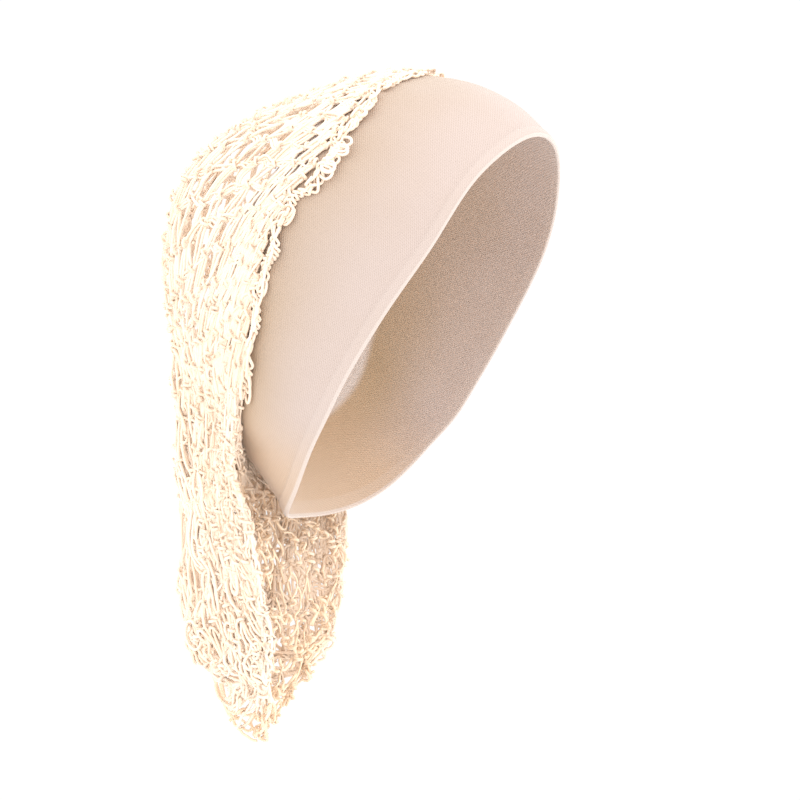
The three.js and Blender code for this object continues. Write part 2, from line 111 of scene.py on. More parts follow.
# Soft folds of the band behind the ears
BAND_FOLDS = (
    {"around": 136, "spread": 9, "height": 1},
    {"around": 157, "spread": 7, "height": 0.6},
)

# Loops of the net bag from the seam (along 0) to the gathered centre (along 1): where the top, the side fold
# and the low point of each lie, as shares of the bag's reach, drop and half breadth
BAG_LOOPS = {
    "along": (0, 0.15, 0.3, 0.45, 0.6, 0.75, 0.9, 1),
    "top_back": (-0.07, 0.37, 0.74, 0.956, 0.985, 0.95, 0.965, 0.93),
    "top_down": (-0.01, 0.003, 0.09, 0.228, 0.4, 0.6, 0.79, 0.825),
    "fold_out": (0.98, 1, 0.98, 0.88, 0.72, 0.58, 0.46, 0.22),
    "fold_back": (0.51, 0.5, 0.47, 0.455, 0.46, 0.56, 0.78, 0.87),
    "fold_down": (0.541, 0.62, 0.7, 0.785, 0.86, 0.915, 0.895, 0.86),
    "low_back": (0.6, 0.553, 0.51, 0.5, 0.55, 0.62, 0.79, 0.855),
    "low_down": (0.587, 0.67, 0.752, 0.845, 0.94, 1.01, 0.98, 0.9),
    "fold_at": (150, 146, 142, 141, 138, 130, 108, 90),
    "lean": (0, 0, 0, -0.03, -0.06, -0.1, -0.12, -0.18),
    "turn": (0, 0, 0, 2, 5, 12, 22, 30),
    "plump": (2.1, 2.2, 2.5, 2.6, 2.6, 2.6, 2.6, 2),
}

# Yarn pieces of the net, by rows of knots from the seam to the centre
NET_PIECES = (
    {"name": "net_crown", "first": 0, "last": 5},
    {"name": "net_back", "first": 5, "last": 10},
    {"name": "net_pouch", "first": 10, "last": 16},
    {"name": "net_tip", "first": 16, "last": 22},
)

# Knots in a row, from which row on
KNOT_COUNTS = (
    {"from_row": 0, "knots": 60},
    {"from_row": 3, "knots": 54},
    {"from_row": 14, "knots": 48},
    {"from_row": 18, "knots": 36},
    {"from_row": 20, "knots": 24},
)
NET_ROWS = 22

# Rows next to the seam, and in the limp pouch, where further strands cross the cells
CROSSED_ROWS = 2
DENSE_FROM_ROW = 9

# Strands with a tone below this lie on the bag's side towards the nape and are drawn in the shade colour:
# painted shade
NAPE_SHADE_TONE = -0.1

# How far the yarns lie inside the sheet's middle, clear of the seam
YARN_SET_IN = 0.003
SET_IN_STARTS = 0.03
SET_IN_FULL = 0.14

# Least distance from the band's cloth to the middle of a yarn that lies over it
YARN_OFF_BAND = 0.0014
EDGING_OFF_BAND = 0.001

# Steps of the net's sheet, round the bag and along it
GRID_TURNS = 360
GRID_SLIDES = 240

# The slides where the rows of knots turn limp, and those of the first and the last row
KNOTS_LIMP_FROM = 0.3
KNOTS_LIMP_FULL = 0.75
FIRST_ROW_AT = 0.004
LAST_ROW_AT = 0.99

# A strand's round section: its sides, and its radius as a share of the yarn's diameter
STRAND_SIDES = 5
STRAND_SHARE = 0.46

# Sides of the cords of the chain and the spiral
CORD_SIDES = 6

# Waves that crumple the yarns: their direction, the two axes that they shift, and their phase
CRUMPLE_WAVES = (
    {"direction": (61, 23, 17), "axes": (0, 1), "phase": 0.0},
    {"direction": (-29, 47, 71), "axes": (1, 2), "phase": 1.3},
    {"direction": (37, -67, 29), "axes": (2, 0), "phase": 2.6},
    {"direction": (113, 41, -83), "axes": (0, 2), "phase": 0.7},
    {"direction": (-71, 97, 59), "axes": (1, 0), "phase": 4.1},
)
WAVE_FINENESS = 2.4

# The bag's open side towards the nape: where it starts and is full, in degrees around and shares along
NAPE_SIDE_AROUND = (137, 147)
NAPE_SIDE_ALONG = (0.02, 0.1)

# Share of the links and knots left out there, and how much lower the tone of its strands is, for their
# painted shade
LEFT_OUT = 0.6
NAPE_SHADE_DROP = 1.6
LEAST_TONE = 0.25

# Least to most thickness of a strand as a share of the yarn's, that on the nape's side, the share of the tone
# that knots keep, and below which share of the nape's side further strands cross the cells
YARN_THINNING = (0.78, 1.0)
NAPE_THINNING = 0.85
KNOT_TONE = 0.45
OUTER_SIDE = 0.3

# How the strands of a link lie: the least height off the sheet, and how far they sag and stand up
LEAST_LIFT = 0.0002
LINK_SAG = 0.0005
LINK_LOFT = 0.0018

# How far a knot's coil stands off the sheet, and how far along its direction is read
KNOT_PROUD = 0.0003
KNOT_SPAN = 0.01

# Coils of the knots: turns, lean in radians, and size, length and rise as shares of the yarn's diameter
KNOT_COIL = {"turns": (0.8, 1.5), "lean": 0.45, "size": (0.75, 1.35), "length": (1.2, 3.4), "rise": 0.3}

# Slack loops of the limp bag: turns, degrees around from its middle, spread along it, and size and height
SLACK_LOOP = {
    "turns": (0.55, 1.05),
    "around": (-128, 128),
    "spread": 0.02,
    "size": (0.003, 0.0075),
    "squash": (0.4, 0.9),
    "height": (0.0005, 0.0035),
}

# Small curls on the gathered centre: how many, their turns, size and height
CENTRE_CURLS = {"count": 46, "turns": (0.6, 1), "size": (0.0018, 0.0045), "height": (0.0006, 0.0028)}

# Small loops of the edging: how far they reach forward, half their width, their height and their lean
SCALLOPS = {
    "reach": (0.0015, 0.0052),
    "wide": (0.0018, 0.0042),
    "height": (0.0008, 0.004),
    "lean": (-0.5, 0.5),
}

# Links between knots of one row: how far they sag along the bag, and their height off the sheet
ROW_LINK = {"sag": (-0.02, 0.03), "height": (-0.0004, 0.0012)}

# Strands at each side fold, how many degrees inside it, and their radius as a share of the yarn's diameter
FOLD_STRANDS = 4
FOLD_INSET = 3
FOLD_SHARE = 0.44

# Radius of the worn form's girth under the band
GIRTH_RADIUS = HEAD_LENGTH * 0.42

# How far the edging's chain and its loops crumple
CHAIN_CRUMPLE = 0.0022
LOOP_CRUMPLE = 0.0026
MILLIMETRE = 0.001

# The middle of the cap, which the camera and the lights face
CAP_MIDDLE = (0, 0.00355, -0.1472)

# Lights: degrees round from the camera and up, distance, size, and power as a share of the key light's
LIGHTS = (
    {"name": "key", "turn": 48, "rise": 46, "distance": 1.5, "size": 1.1, "power": 1},
    {"name": "fill", "turn": -60, "rise": 12, "distance": 1.8, "size": 1.4, "power": 0.25},
)

# Radius of the floor, and strength of the white paper behind the cap
FLOOR_RADIUS = 0.9
PAPER_WHITE = 1.05


def radians(degrees):
    """An angle in radians"""
    return degrees * math.pi / 180


def smoothstep(value, low, high):
    """Eased share of the way from a low value to a high one"""
    share = np.clip((value - low) / (high - low), 0, 1)
    return share * share * (3 - 2 * share)


def signed_turn(degrees):
    """An angle as one between -180 and 180 degrees"""
    return (degrees + 180) % 360 - 180


def shares(steps):
    """Even steps from nought to one, for all yarns of a batch"""
    return np.linspace(0, 1, steps)[None, :]


def unit(vectors):
    """Directions of length one"""
    return vectors / np.maximum(np.linalg.norm(vectors, axis=-1, keepdims=True), 1e-9)


def sample(table, key, column, at, flat_ends=False):
    """Reads a column of a table at places between its rows, along a smooth curve"""
    keys = np.array(table[key], float)
    values = np.array(table[column] if isinstance(column, str) else column, float)
    slopes = np.empty_like(values)
    slopes[1:-1] = (values[2:] - values[:-2]) / (keys[2:] - keys[:-2])
    rises = np.diff(values) / np.diff(keys)
    slopes[0] = 0 if flat_ends else rises[0]
    slopes[-1] = 0 if flat_ends else rises[-1]
    at = np.asarray(at, float)
    row = np.clip(np.searchsorted(keys, at, side="left") - 1, 0, len(keys) - 2)
    span = keys[row + 1] - keys[row]
    share = np.clip((at - keys[row]) / span, 0, 1)
    rise = values[row + 1] - values[row]
    lead = slopes[row] * span - rise
    trail = rise - slopes[row + 1] * span
    curve = values[row] + rise * share + share * (1 - share) * (lead * (1 - share) + trail * share)
    return curve + slopes[0] * np.minimum(at - keys[0], 0)


def head_section(height):
    """Centre, squared half length and narrowness of the worn form at a height"""
    down = -height / CROWN_TO_NAPE
    lengths = np.array(HEAD_SECTIONS["length"]) ** 2
    centre = sample(HEAD_SECTIONS, "down", "shift", down) * HEAD_LENGTH
    squared = sample(HEAD_SECTIONS, "down", lengths, down) * (HEAD_LENGTH / 2) ** 2
    narrowness = sample(HEAD_SECTIONS, "down", "fullness", down) * HEAD_BREADTH / HEAD_LENGTH
    return centre, squared, narrowness


def head_field(points):
    """Negative inside the worn form and positive outside it"""
    centre, squared, narrowness = head_section(points[..., 2])
    return (points[..., 0] / narrowness) ** 2 + (points[..., 1] - centre) ** 2 - squared


def clearance(points):
    """Distance of points from the worn form, and the direction away from it"""
    step = 0.0002
    least_steepness = 0.001
    slopes = []
    for axis in range(3):
        shift = np.zeros(3)
        shift[axis] = step
        slopes.append((head_field(points + shift) - head_field(points - shift)) / (2 * step))
    normal = np.stack(slopes, axis=-1)
    steepness = np.maximum(np.linalg.norm(normal, axis=-1), least_steepness)
    return head_field(points) / steepness, normal / steepness[..., None]


CENTRE_HEIGHT = -HEAD_CENTRE_DOWN * CROWN_TO_NAPE
HEAD_CENTRE = np.array((0, float(head_section(np.array(CENTRE_HEIGHT))[0]), CENTRE_HEIGHT))
AXIS = np.array((0, math.sin(radians(CAP_TILT)), math.cos(radians(CAP_TILT))))
FOREHEAD = np.array((0, -math.cos(radians(CAP_TILT)), math.sin(radians(CAP_TILT))))
WEARERS_RIGHT = np.array((-1, 0, 0))


def push_out(points, lift):
    """Moves points that lie too close to the worn form out to the given distance from it"""
    tries = 12
    tolerance = 1e-6
    least_slope = 0.3
    longest_stride = HEAD_BREADTH / 5
    moved = points.copy()
    for _ in range(tries):
        distance, normal = clearance(moved)
        close = distance < lift - tolerance
        if not close.any():
            break
        away = moved - HEAD_CENTRE
        low = moved[..., 2] < HEAD_CENTRE[2]
        centre = head_section(moved[..., 2])[0]
        level = np.stack((moved[..., 0], moved[..., 1] - centre, np.zeros_like(centre)), axis=-1)
        away = np.where(low[..., None], level, away)
        away /= np.maximum(np.linalg.norm(away, axis=-1, keepdims=True), tolerance)
        slope = np.maximum((normal * away).sum(-1), least_slope)
        stride = np.minimum((lift - distance) / slope, longest_stride)
        moved += away * np.where(close, stride, 0)[..., None]
    return moved


def on_head(angle, around, lift):
    """Points off the worn form, seen from its centre under an angle from the cap's axis and one around it"""
    angle = np.radians(angle)
    turn = np.radians(around)
    ray = AXIS * np.cos(angle)[..., None]
    ray = ray + FOREHEAD * (np.sin(angle) * np.cos(turn))[..., None]
    ray = ray + WEARERS_RIGHT * (np.sin(angle) * np.sin(turn))[..., None]
    near = np.zeros(angle.shape)
    far = np.full(angle.shape, HEAD_LENGTH)
    halvings = 30
    for _ in range(halvings):
        middle = (near + far) / 2
        inside = head_field(HEAD_CENTRE + ray * middle[..., None]) < 0
        near = np.where(inside, middle, near)
        far = np.where(inside, far, middle)
    surface = HEAD_CENTRE + ray * near[..., None]
    normal = clearance(surface)[1]
    return surface + normal * np.asarray(lift)[..., None], normal, near


def band_place(around, back):
    """Angle of a place on the band that lies a length back from its front edge, and the band's width"""
    turn = np.abs(around)
    front = sample(BAND_SECTIONS, "around", "front", turn, True)
    width = sample(BAND_SECTIONS, "around", "width", turn, True) * BAND_WIDTH
    radius = on_head(front - np.degrees(width / HEAD_LENGTH), around, np.zeros(turn.shape))[2]
    return front - np.degrees(back / radius), width


def band_fold(around, across):
    """How far the band's soft folds stand off the worn form, at a share of the way across it"""
    height = 0
    for fold in BAND_FOLDS:
        offset = (np.abs(around) - fold["around"]) / fold["spread"]
        height = np.maximum(height, fold["height"] * np.exp(-offset * offset))
    return BAND_FOLD_HEIGHT * height * np.sin(np.pi * np.minimum(across, 1))


def seam_point(around, forward, lift):
    """Points off the band's cloth, forward of the seam where the net is sewn over the rear of the band"""
    around = np.asarray(around, float)
    width = band_place(around, np.zeros(around.shape))[1]
    back = width - NET_OVERLAP - forward
    angle = band_place(around, back)[0]
    points, normals, _ = on_head(angle, around, BAND_WALL + band_fold(around, back / width) + lift)
    return points, normals


def quarter_loop(wide, high, power, share):
    """Points on quarters of squared ellipses, at a share of the way from the high end to the wide end"""
    steps = 24
    angle = np.linspace(0, math.pi / 2, steps + 1)
    cosine = np.maximum(np.cos(angle), 0)
    power = np.asarray(power, float)[..., None]
    size = (cosine**power + np.sin(angle) ** power) ** (1 / power)
    out = np.sin(angle) / size
    up = cosine / size
    pieces = np.hypot(np.diff(out) * wide[..., None], np.diff(up) * high[..., None])
    lengths = np.concatenate((np.zeros(pieces.shape[:-1] + (1,)), np.cumsum(pieces, axis=-1)), axis=-1)
    wanted = share * lengths[..., -1]
    index = np.clip((lengths < wanted[..., None]).sum(-1), 1, steps)[..., None]
    low = np.take_along_axis(lengths, index - 1, -1)[..., 0]
    high_end = np.take_along_axis(lengths, index, -1)[..., 0]
    part = (wanted - low) / (high_end - low)

    def between(values):
        first = np.take_along_axis(values, index - 1, -1)[..., 0]
        return first + (np.take_along_axis(values, index, -1)[..., 0] - first) * part

    return between(out), between(up)


def loop_point(around, along):
    """Points on the bag's loops, as the empty bag would hang"""
    read = {name: sample(BAG_LOOPS, "along", name, along) for name in BAG_LOOPS}
    turned = np.abs(around)
    outer = turned < read["fold_at"]
    wide = read["fold_out"] * BAG_BREADTH / 2
    back = (np.where(outer, read["top_back"], read["low_back"]) - read["fold_back"]) * BAG_REACH
    down = (np.where(outer, read["top_down"], read["low_down"]) - read["fold_down"]) * BAG_DROP
    share = np.where(outer, turned / read["fold_at"], (180 - turned) / (180 - read["fold_at"]))
    power = np.where(outer, read["plump"], UNDERSIDE_PLUMP)
    out, up = quarter_loop(wide, np.hypot(back, down), power, share)
    bulge = np.where(outer, SIDE_BULGE * smoothstep(along, 0, BULGE_FULL) * (1 - along), 0)
    gone_back = up * back + bulge * up * (1 - up) ** 3
    risen = np.where(outer, up**SIDE_RISE, up)
    sideways = -np.sign(around) * out * wide
    turn = np.radians(read["turn"])
    x = sideways * np.cos(turn) - gone_back * np.sin(turn) + read["lean"] * BAG_BREADTH / 2
    y = sideways * np.sin(turn) + gone_back * np.cos(turn) + read["fold_back"] * BAG_REACH
    return np.stack((x, y, -read["fold_down"] * BAG_DROP - risen * down), axis=-1)


def net_form():
    """Grid of points and normals of the net's sheet, by turn around the bag and slide along it"""
    turns = np.linspace(-180, 180, GRID_TURNS + 1)
    slides = np.linspace(0, 1, GRID_SLIDES + 1)
    around, along = np.meshgrid(turns, slides, indexing="ij")
    point = loop_point(around, along)
    nape = smoothstep(np.abs(turns), NAPE_STARTS, NAPE_ENDS)
    rest = NET_REST + NAPE_EASE * nape
    seam = seam_point(turns, 0, rest)[0]
    left = 1 - smoothstep(along, 0, SEAM_LEFT)
    point = point + (seam - loop_point(turns, np.zeros(turns.shape)))[:, None, :] * left[..., None]
    limp = 2 * smoothstep(along, LIMP_STARTS, LIMP_FULL) * (1 - along)
    wave = np.sin(np.radians(CRUMPLE_FOLDS * around) + CRUMPLE_SLANT * along)
    axis_back = np.full(along.shape, BAG_REACH * BAG_AXIS)
    inward = np.stack((np.zeros(along.shape), axis_back, point[..., 2]), axis=-1) - point
    inward /= np.linalg.norm(inward, axis=-1, keepdims=True)
    point = point + inward * (CRUMPLE_HEIGHT * limp * wave)[..., None]
    over = SLACK_AT_NAPE + (1 - SLACK_AT_NAPE) * np.cos(np.radians(around / 2)) ** 2
    slack = NET_SLACK * over * smoothstep(along, 0, SLACK_FULL)
    cloth = BAND_WALL + band_fold(turns, SEAM_ACROSS) + rest
    point = push_out(point, cloth[:, None] + slack)
    wrapped = np.concatenate((point[-2:-1], point, point[1:2]), axis=0)
    across = wrapped[2:] - wrapped[:-2]
    down = np.gradient(point, axis=1)
    normal = np.cross(down, across)
    normal /= np.linalg.norm(normal, axis=-1, keepdims=True)
    return point, normal


NET_POINTS, NET_NORMALS = net_form()


def lay(around, along, lift):
    """Points on the net's sheet, lifted off it, and its normals there"""
    turn = ((np.asarray(around) + 180) % 360) * GRID_TURNS / 360
    slide = np.clip(along, 0, 1) * GRID_SLIDES
    i = np.minimum(turn.astype(int), GRID_TURNS - 1)
    j = np.minimum(slide.astype(int), GRID_SLIDES - 1)
    u = (turn - i)[..., None]
    v = (slide - j)[..., None]

    def blend(grid):
        low = grid[i, j] * (1 - u) + grid[i + 1, j] * u
        high = grid[i, j + 1] * (1 - u) + grid[i + 1, j + 1] * u
        return low * (1 - v) + high * v

    normal = blend(NET_NORMALS)
    normal /= np.maximum(np.linalg.norm(normal, axis=-1, keepdims=True), 1e-6)
    lift = lift - YARN_SET_IN * smoothstep(along, SET_IN_STARTS, SET_IN_FULL)
    return blend(NET_POINTS) + normal * lift[..., None], normal


def yarn_arrays(paths, normals, radius, sides, tones):
    """Corners, faces, UVs and tones of round yarns along paths of equal counts of points"""
    count, steps = paths.shape[:2]
    ahead = unit(np.gradient(paths, axis=1))
    side = unit(np.cross(ahead, normals))
    up = np.cross(side, ahead)
    angle = 2 * np.pi * np.arange(sides) / sides
    thick = np.broadcast_to(np.asarray(radius, float), (count, steps))[..., None, None]
    ring = side[:, :, None, :] * np.cos(angle)[:, None] + up[:, :, None, :] * np.sin(angle)[:, None]
    corners = (paths[:, :, None, :] + ring * thick).reshape(-1, 3)
    start = (np.arange(count) * steps * sides)[:, None, None]
    row = (np.arange(steps - 1) * sides)[None, :, None]
    here = np.arange(sides)[None, None, :]
    beside = (here + 1) % sides
    quads = np.stack(
        (start + row + here, start + row + beside, start + row + sides + beside, start + row + sides + here),
        axis=-1,
    ).reshape(-1, 4)
    caps = np.concatenate(
        (
            (start[:, 0] + np.arange(sides)[::-1]),
            (start[:, 0] + (steps - 1) * sides + np.arange(sides)),
        )
    )
    gone = np.linalg.norm(np.diff(paths, axis=1), axis=-1)
    lengths = np.concatenate((np.zeros((count, 1)), np.cumsum(gone, axis=1)), axis=1)
    lengths = lengths + tones[:, None]
    low = np.broadcast_to(lengths[:, :-1, None], (count, steps - 1, sides))
    high = np.broadcast_to(lengths[:, 1:, None], (count, steps - 1, sides))
    first = np.broadcast_to(np.arange(sides) / sides, (count, steps - 1, sides))
    last = first + 1 / sides
    corner_uvs = [np.stack(pair, -1) for pair in ((first, low), (last, low), (last, high), (first, high))]
    quad_uvs = np.stack(corner_uvs, axis=-2).reshape(-1, 2)
    cap_uvs = np.zeros((caps.size, 2))
    return {
        "corners": corners,
        "quads": quads,
        "caps": caps,
        "uvs": (quad_uvs, cap_uvs),
        "tone": np.repeat(tones, steps * sides),
        "outward": np.tile(0.5 + 0.5 * np.sin(angle), count * steps),
    }


def add_attributes(mesh, columns):
    """Values of each corner that the materials read"""
    for name, values in columns.items():
        layer = mesh.attributes.new(name, "FLOAT", "POINT")
        layer.data.foreach_set("value", values.astype(np.float32))


def yarn_mesh(name, batches):
    """One mesh object of many yarns"""
    lists = {key: [] for key in ("corners", "loops", "sizes", "uvs", "tone", "outward")}
    offset = 0
    for batch in batches:
        quads = batch["quads"] + offset
        caps = batch["caps"] + offset
        for key in ("corners", "tone", "outward"):
            lists[key].append(batch[key])
        lists["uvs"].extend(batch["uvs"])
        lists["loops"].extend((quads.ravel(), caps.ravel()))
        lists["sizes"].extend((np.full(len(quads), 4), np.full(len(caps), caps.shape[1])))
        offset += len(batch["corners"])
    joined = {key: np.concatenate(parts) for key, parts in lists.items()}
    sizes = joined["sizes"]
    mesh = bpy.data.meshes.new(name)
    mesh.vertices.add(len(joined["corners"]))
    mesh.vertices.foreach_set("co", joined["corners"].ravel().astype(np.float32))
    mesh.loops.add(len(joined["loops"]))
    mesh.loops.foreach_set("vertex_index", joined["loops"].astype(np.int32))
    mesh.polygons.add(len(sizes))
    mesh.polygons.foreach_set("loop_start", (np.cumsum(sizes) - sizes).astype(np.int32))
    mesh.update(calc_edges=True)
    uv = mesh.uv_layers.new(name="UVMap")
    uv.data.foreach_set("uv", joined["uvs"].ravel().astype(np.float32))
    add_attributes(mesh, {key: joined[key] for key in ("tone", "outward")})
    mesh.polygons.foreach_set("use_smooth", np.ones(len(sizes), bool))
    mesh.validate()
    piece = bpy.data.objects.new(name, mesh)
    bpy.context.collection.objects.link(piece)
    return piece


def knots_in(row):
    """How many knots a row of the net has"""
    count = KNOT_COUNTS[0]["knots"]
    for step in KNOT_COUNTS:
        if row >= step["from_row"]:
            count = step["knots"]
    return count


def loosened(limp, taut, more):
    """A measure of the yarns that grows from the taut part of the net to the limp part"""
    return taut + more * limp


def lattice(seed, scatter):
    """Places of the net's knots: for each row, the turn around, the slide along and the lift of each knot"""
    rng = np.random.default_rng(seed)
    turns = np.radians((-75, -45, 0, 45, 75))
    index = np.round((np.degrees(turns) + 180) * GRID_TURNS / 360).astype(int)
    gone = np.linalg.norm(np.diff(NET_POINTS[index], axis=1), axis=-1).mean(0)
    length = np.concatenate(((0,), np.cumsum(gone)))
    slides = np.interp(np.linspace(0, length[-1], NET_ROWS + 1), length, np.linspace(0, 1, len(length)))
    rows = []
    for row, slide in enumerate(slides):
        count = knots_in(row)
        step = slides[min(row + 1, NET_ROWS)] - slides[max(row - 1, 0)]
        limp = float(smoothstep(slide, KNOTS_LIMP_FROM, KNOTS_LIMP_FULL))
        around = -180 + 360 * (np.arange(count) + (row % 2) / 2) / count
        uneven = scatter * loosened(limp, taut=0.55, more=0.45)
        around = around + rng.normal(0, 1, count) * uneven * 360 / count
        along = slide + rng.normal(0, 1, count) * uneven * loosened(limp, taut=0.6, more=0.4) * step / 2
        if row == 0:
            along = np.full(count, FIRST_ROW_AT)
        if row == NET_ROWS:
            along = np.full(count, LAST_ROW_AT)
        lift = -0.0004 + rng.uniform(0, 1, count) * loosened(limp, taut=0.0009, more=0.003)
        rows.append({"around": around, "along": np.clip(along, 0.002, 0.995), "lift": lift, "limp": limp})
    return rows


def crumple(points, size, reach):
    """Small smooth shifts that carry neighbouring yarns along together"""
    shift = np.zeros_like(points)
    for wave in CRUMPLE_WAVES:
        first, second = wave["axes"]
        angle = (points * (np.array(wave["direction"]) * WAVE_FINENESS)).sum(-1) + wave["phase"]
        shift[..., first] += np.sin(angle)
        shift[..., second] += np.cos(angle * 1.3 + wave["phase"])
    return points + shift * size * np.asarray(reach)[..., None] / len(CRUMPLE_WAVES)


def crumpled(paths, settings):
    """Yarns crumpled along with their part of the net"""
    return crumple(paths, settings["crumple"], loosened(settings["limp"], taut=0.07, more=0.93))


def about(places, directions, distances):
    """Paths round places, by the distances of their points in three directions"""
    paths = places[:, None, :]
    for direction, distance in zip(directions, distances):
        paths = paths + direction[..., None, :] * distance[..., None]
    return paths


def sweep(share, count, turns, rng):
    """Angles along coils that start anywhere and run through least to most turns"""
    start = rng.uniform(0, 2 * np.pi, (count, 1))
    return start + share * 2 * np.pi * rng.uniform(*turns, (count, 1))


def near_nape(around, slide):
    """How far a place belongs to the bag's open side towards the nape"""
    turned = np.abs(signed_turn(around))
    return smoothstep(turned, *NAPE_SIDE_AROUND) * smoothstep(slide, *NAPE_SIDE_ALONG)


def off_band(paths, around, settings):
    """Yarns of the net's taut part, moved clear of the band's cloth"""
    if settings["slide"] > LIMP_FULL:
        return paths
    fold = band_fold(signed_turn(around), SEAM_ACROSS)
    return push_out(paths, BAND_WALL + YARN_OFF_BAND + np.broadcast_to(fold, paths.shape[:2]))


def strand_tones_and_shade(around, slide, rng):
    """Tone of each strand: pale on the outside of the bag, and below nought on its side towards the nape, as
    painted shade
    """
    return rng.uniform(LEAST_TONE, 1, len(around)) - NAPE_SHADE_DROP * near_nape(around, slide)


def doubled(around, limp, slide):
    """Share of links with two yarns: most on the outside of the bag, few on its side towards the nape"""
    most = 0.95
    fewer_on_left = 0.6
    left_side = smoothstep(-signed_turn(around), 20, 70) * fewer_on_left
    return (most - left_side * limp) * (1 - near_nape(around, slide))


def thinned(around, slide, rng):
    """Which links are left out on the bag's open side towards the nape"""
    return rng.uniform(0, 1, len(around)) < LEFT_OUT * near_nape(around, slide)


def strand_paths(start, end, settings, rng, steps=9):
    """One or two yarns for each pair of knots, side by side, close at the knots and apart between them"""
    count = len(start["around"])
    bend_degrees = 0.5
    swerve = 0.1
    least_spread = 0.55
    most_twist = 1.4
    third_yarns = 0.75
    tone_spread = 0.08
    share = shares(steps)
    bow = np.sin(np.pi * share)
    turned = signed_turn(end["around"] - start["around"])
    bend = rng.normal(0, bend_degrees, (count, 1)) * loosened(settings["limp"], taut=1, more=2.4)
    around = start["around"][:, None] + turned[:, None] * smoothstep(share, 0.06, 0.94) + bend * bow
    slide = end["along"] - start["along"]
    along = start["along"][:, None] + slide[:, None] * share
    along = along + rng.normal(0, swerve, (count, 1)) * slide[:, None] * np.sin(2 * np.pi * share)
    lift = start["lift"][:, None] + (end["lift"] - start["lift"])[:, None] * share
    sag = rng.uniform(-0.2, 1, (count, 1)) * LINK_SAG
    loft = rng.normal(0, 1, (count, 1)) * LINK_LOFT * settings["limp"]
    middle, normal = lay(around, along, np.maximum(lift + bow * (loft - sag), LEAST_LIFT))
    ahead = unit(np.gradient(middle, axis=1))
    side = unit(np.cross(ahead, normal))
    widest = loosened(settings["limp"], taut=0.75, more=0.35)
    spread = (least_spread + bow * rng.uniform(0, widest, (count, 1))) * settings["yarn"]
    twist = rng.uniform(-0.5, 0.5, (count, 1))
    twist = twist + share * rng.uniform(-most_twist, most_twist, (count, 1))
    offset = side * np.cos(twist)[..., None] + normal * np.sin(twist)[..., None]
    paths = []
    normals = []
    tones = []
    tone = strand_tones_and_shade(start["around"], settings["slide"], rng)
    second = rng.uniform(0, 1, count) < doubled(start["around"], settings["limp"], settings["slide"])
    third = second & (rng.uniform(0, 1, count) < third_yarns - settings["limp"])
    for sign, kept in ((-1, np.full(count, True)), (1, second), (0.15, third)):
        size = loosened(settings["limp"], taut=0.00005, more=0.0001)
        waver = rng.normal(0, size, (count, steps, 3)) * bow[..., None]
        path = crumpled(middle + offset * sign * spread[..., None] + waver, settings)
        path = off_band(path, around, settings)
        paths.append(path[kept])
        normals.append(normal[kept])
        tones.append(tone[kept] + rng.normal(0, tone_spread, kept.sum()))
    return np.concatenate(paths), np.concatenate(normals), np.concatenate(tones)


def knot_paths(row, settings, rng, steps=11):
    """A short coil of yarn on each knot, wound across the strands"""
    count = len(row["around"])
    share = shares(steps)
    place, normal = lay(row["around"], row["along"], row["lift"] + KNOT_PROUD)
    after = lay(row["around"], np.minimum(row["along"] + KNOT_SPAN, 1), row["lift"])[0]
    before = lay(row["around"], np.maximum(row["along"] - KNOT_SPAN, 0), row["lift"])[0]
    ahead = unit(after - before)
    tilt = rng.normal(0, KNOT_COIL["lean"], (count, 1))
    side = unit(np.cross(ahead, normal))
    axis = unit(ahead * np.cos(tilt) + side * np.sin(tilt))
    side = unit(np.cross(axis, normal))
    up = np.cross(side, axis)
    angle = sweep(share, count, KNOT_COIL["turns"], rng)
    size = settings["yarn"] * rng.uniform(*KNOT_COIL["size"], (count, 1))
    length = settings["yarn"] * rng.uniform(*KNOT_COIL["length"], (count, 1))
    raised = np.sin(angle) * size + settings["yarn"] * KNOT_COIL["rise"]
    paths = about(place, (side, up, axis), (np.cos(angle) * size, raised, (share - 0.5) * length))
    paths = off_band(crumpled(paths, settings), row["around"][:, None], settings)
    outward = unit(side[:, None, :] * np.cos(angle)[..., None] + up[:, None, :] * np.sin(angle)[..., None])
    return paths, outward


def pick(row, index):
    """Some knots of a row"""
    return {key: row[key][index] for key in ("around", "along", "lift")}


def neighbours(row, following):
    """Each knot's nearest knots of the next row, one on each side"""
    offset = signed_turn(following["around"][None, :] - row["around"][:, None])
    right = np.where(offset >= 0, offset, 999).argmin(1)
    left = np.where(offset < 0, -offset, 999).argmin(1)
    return left, right


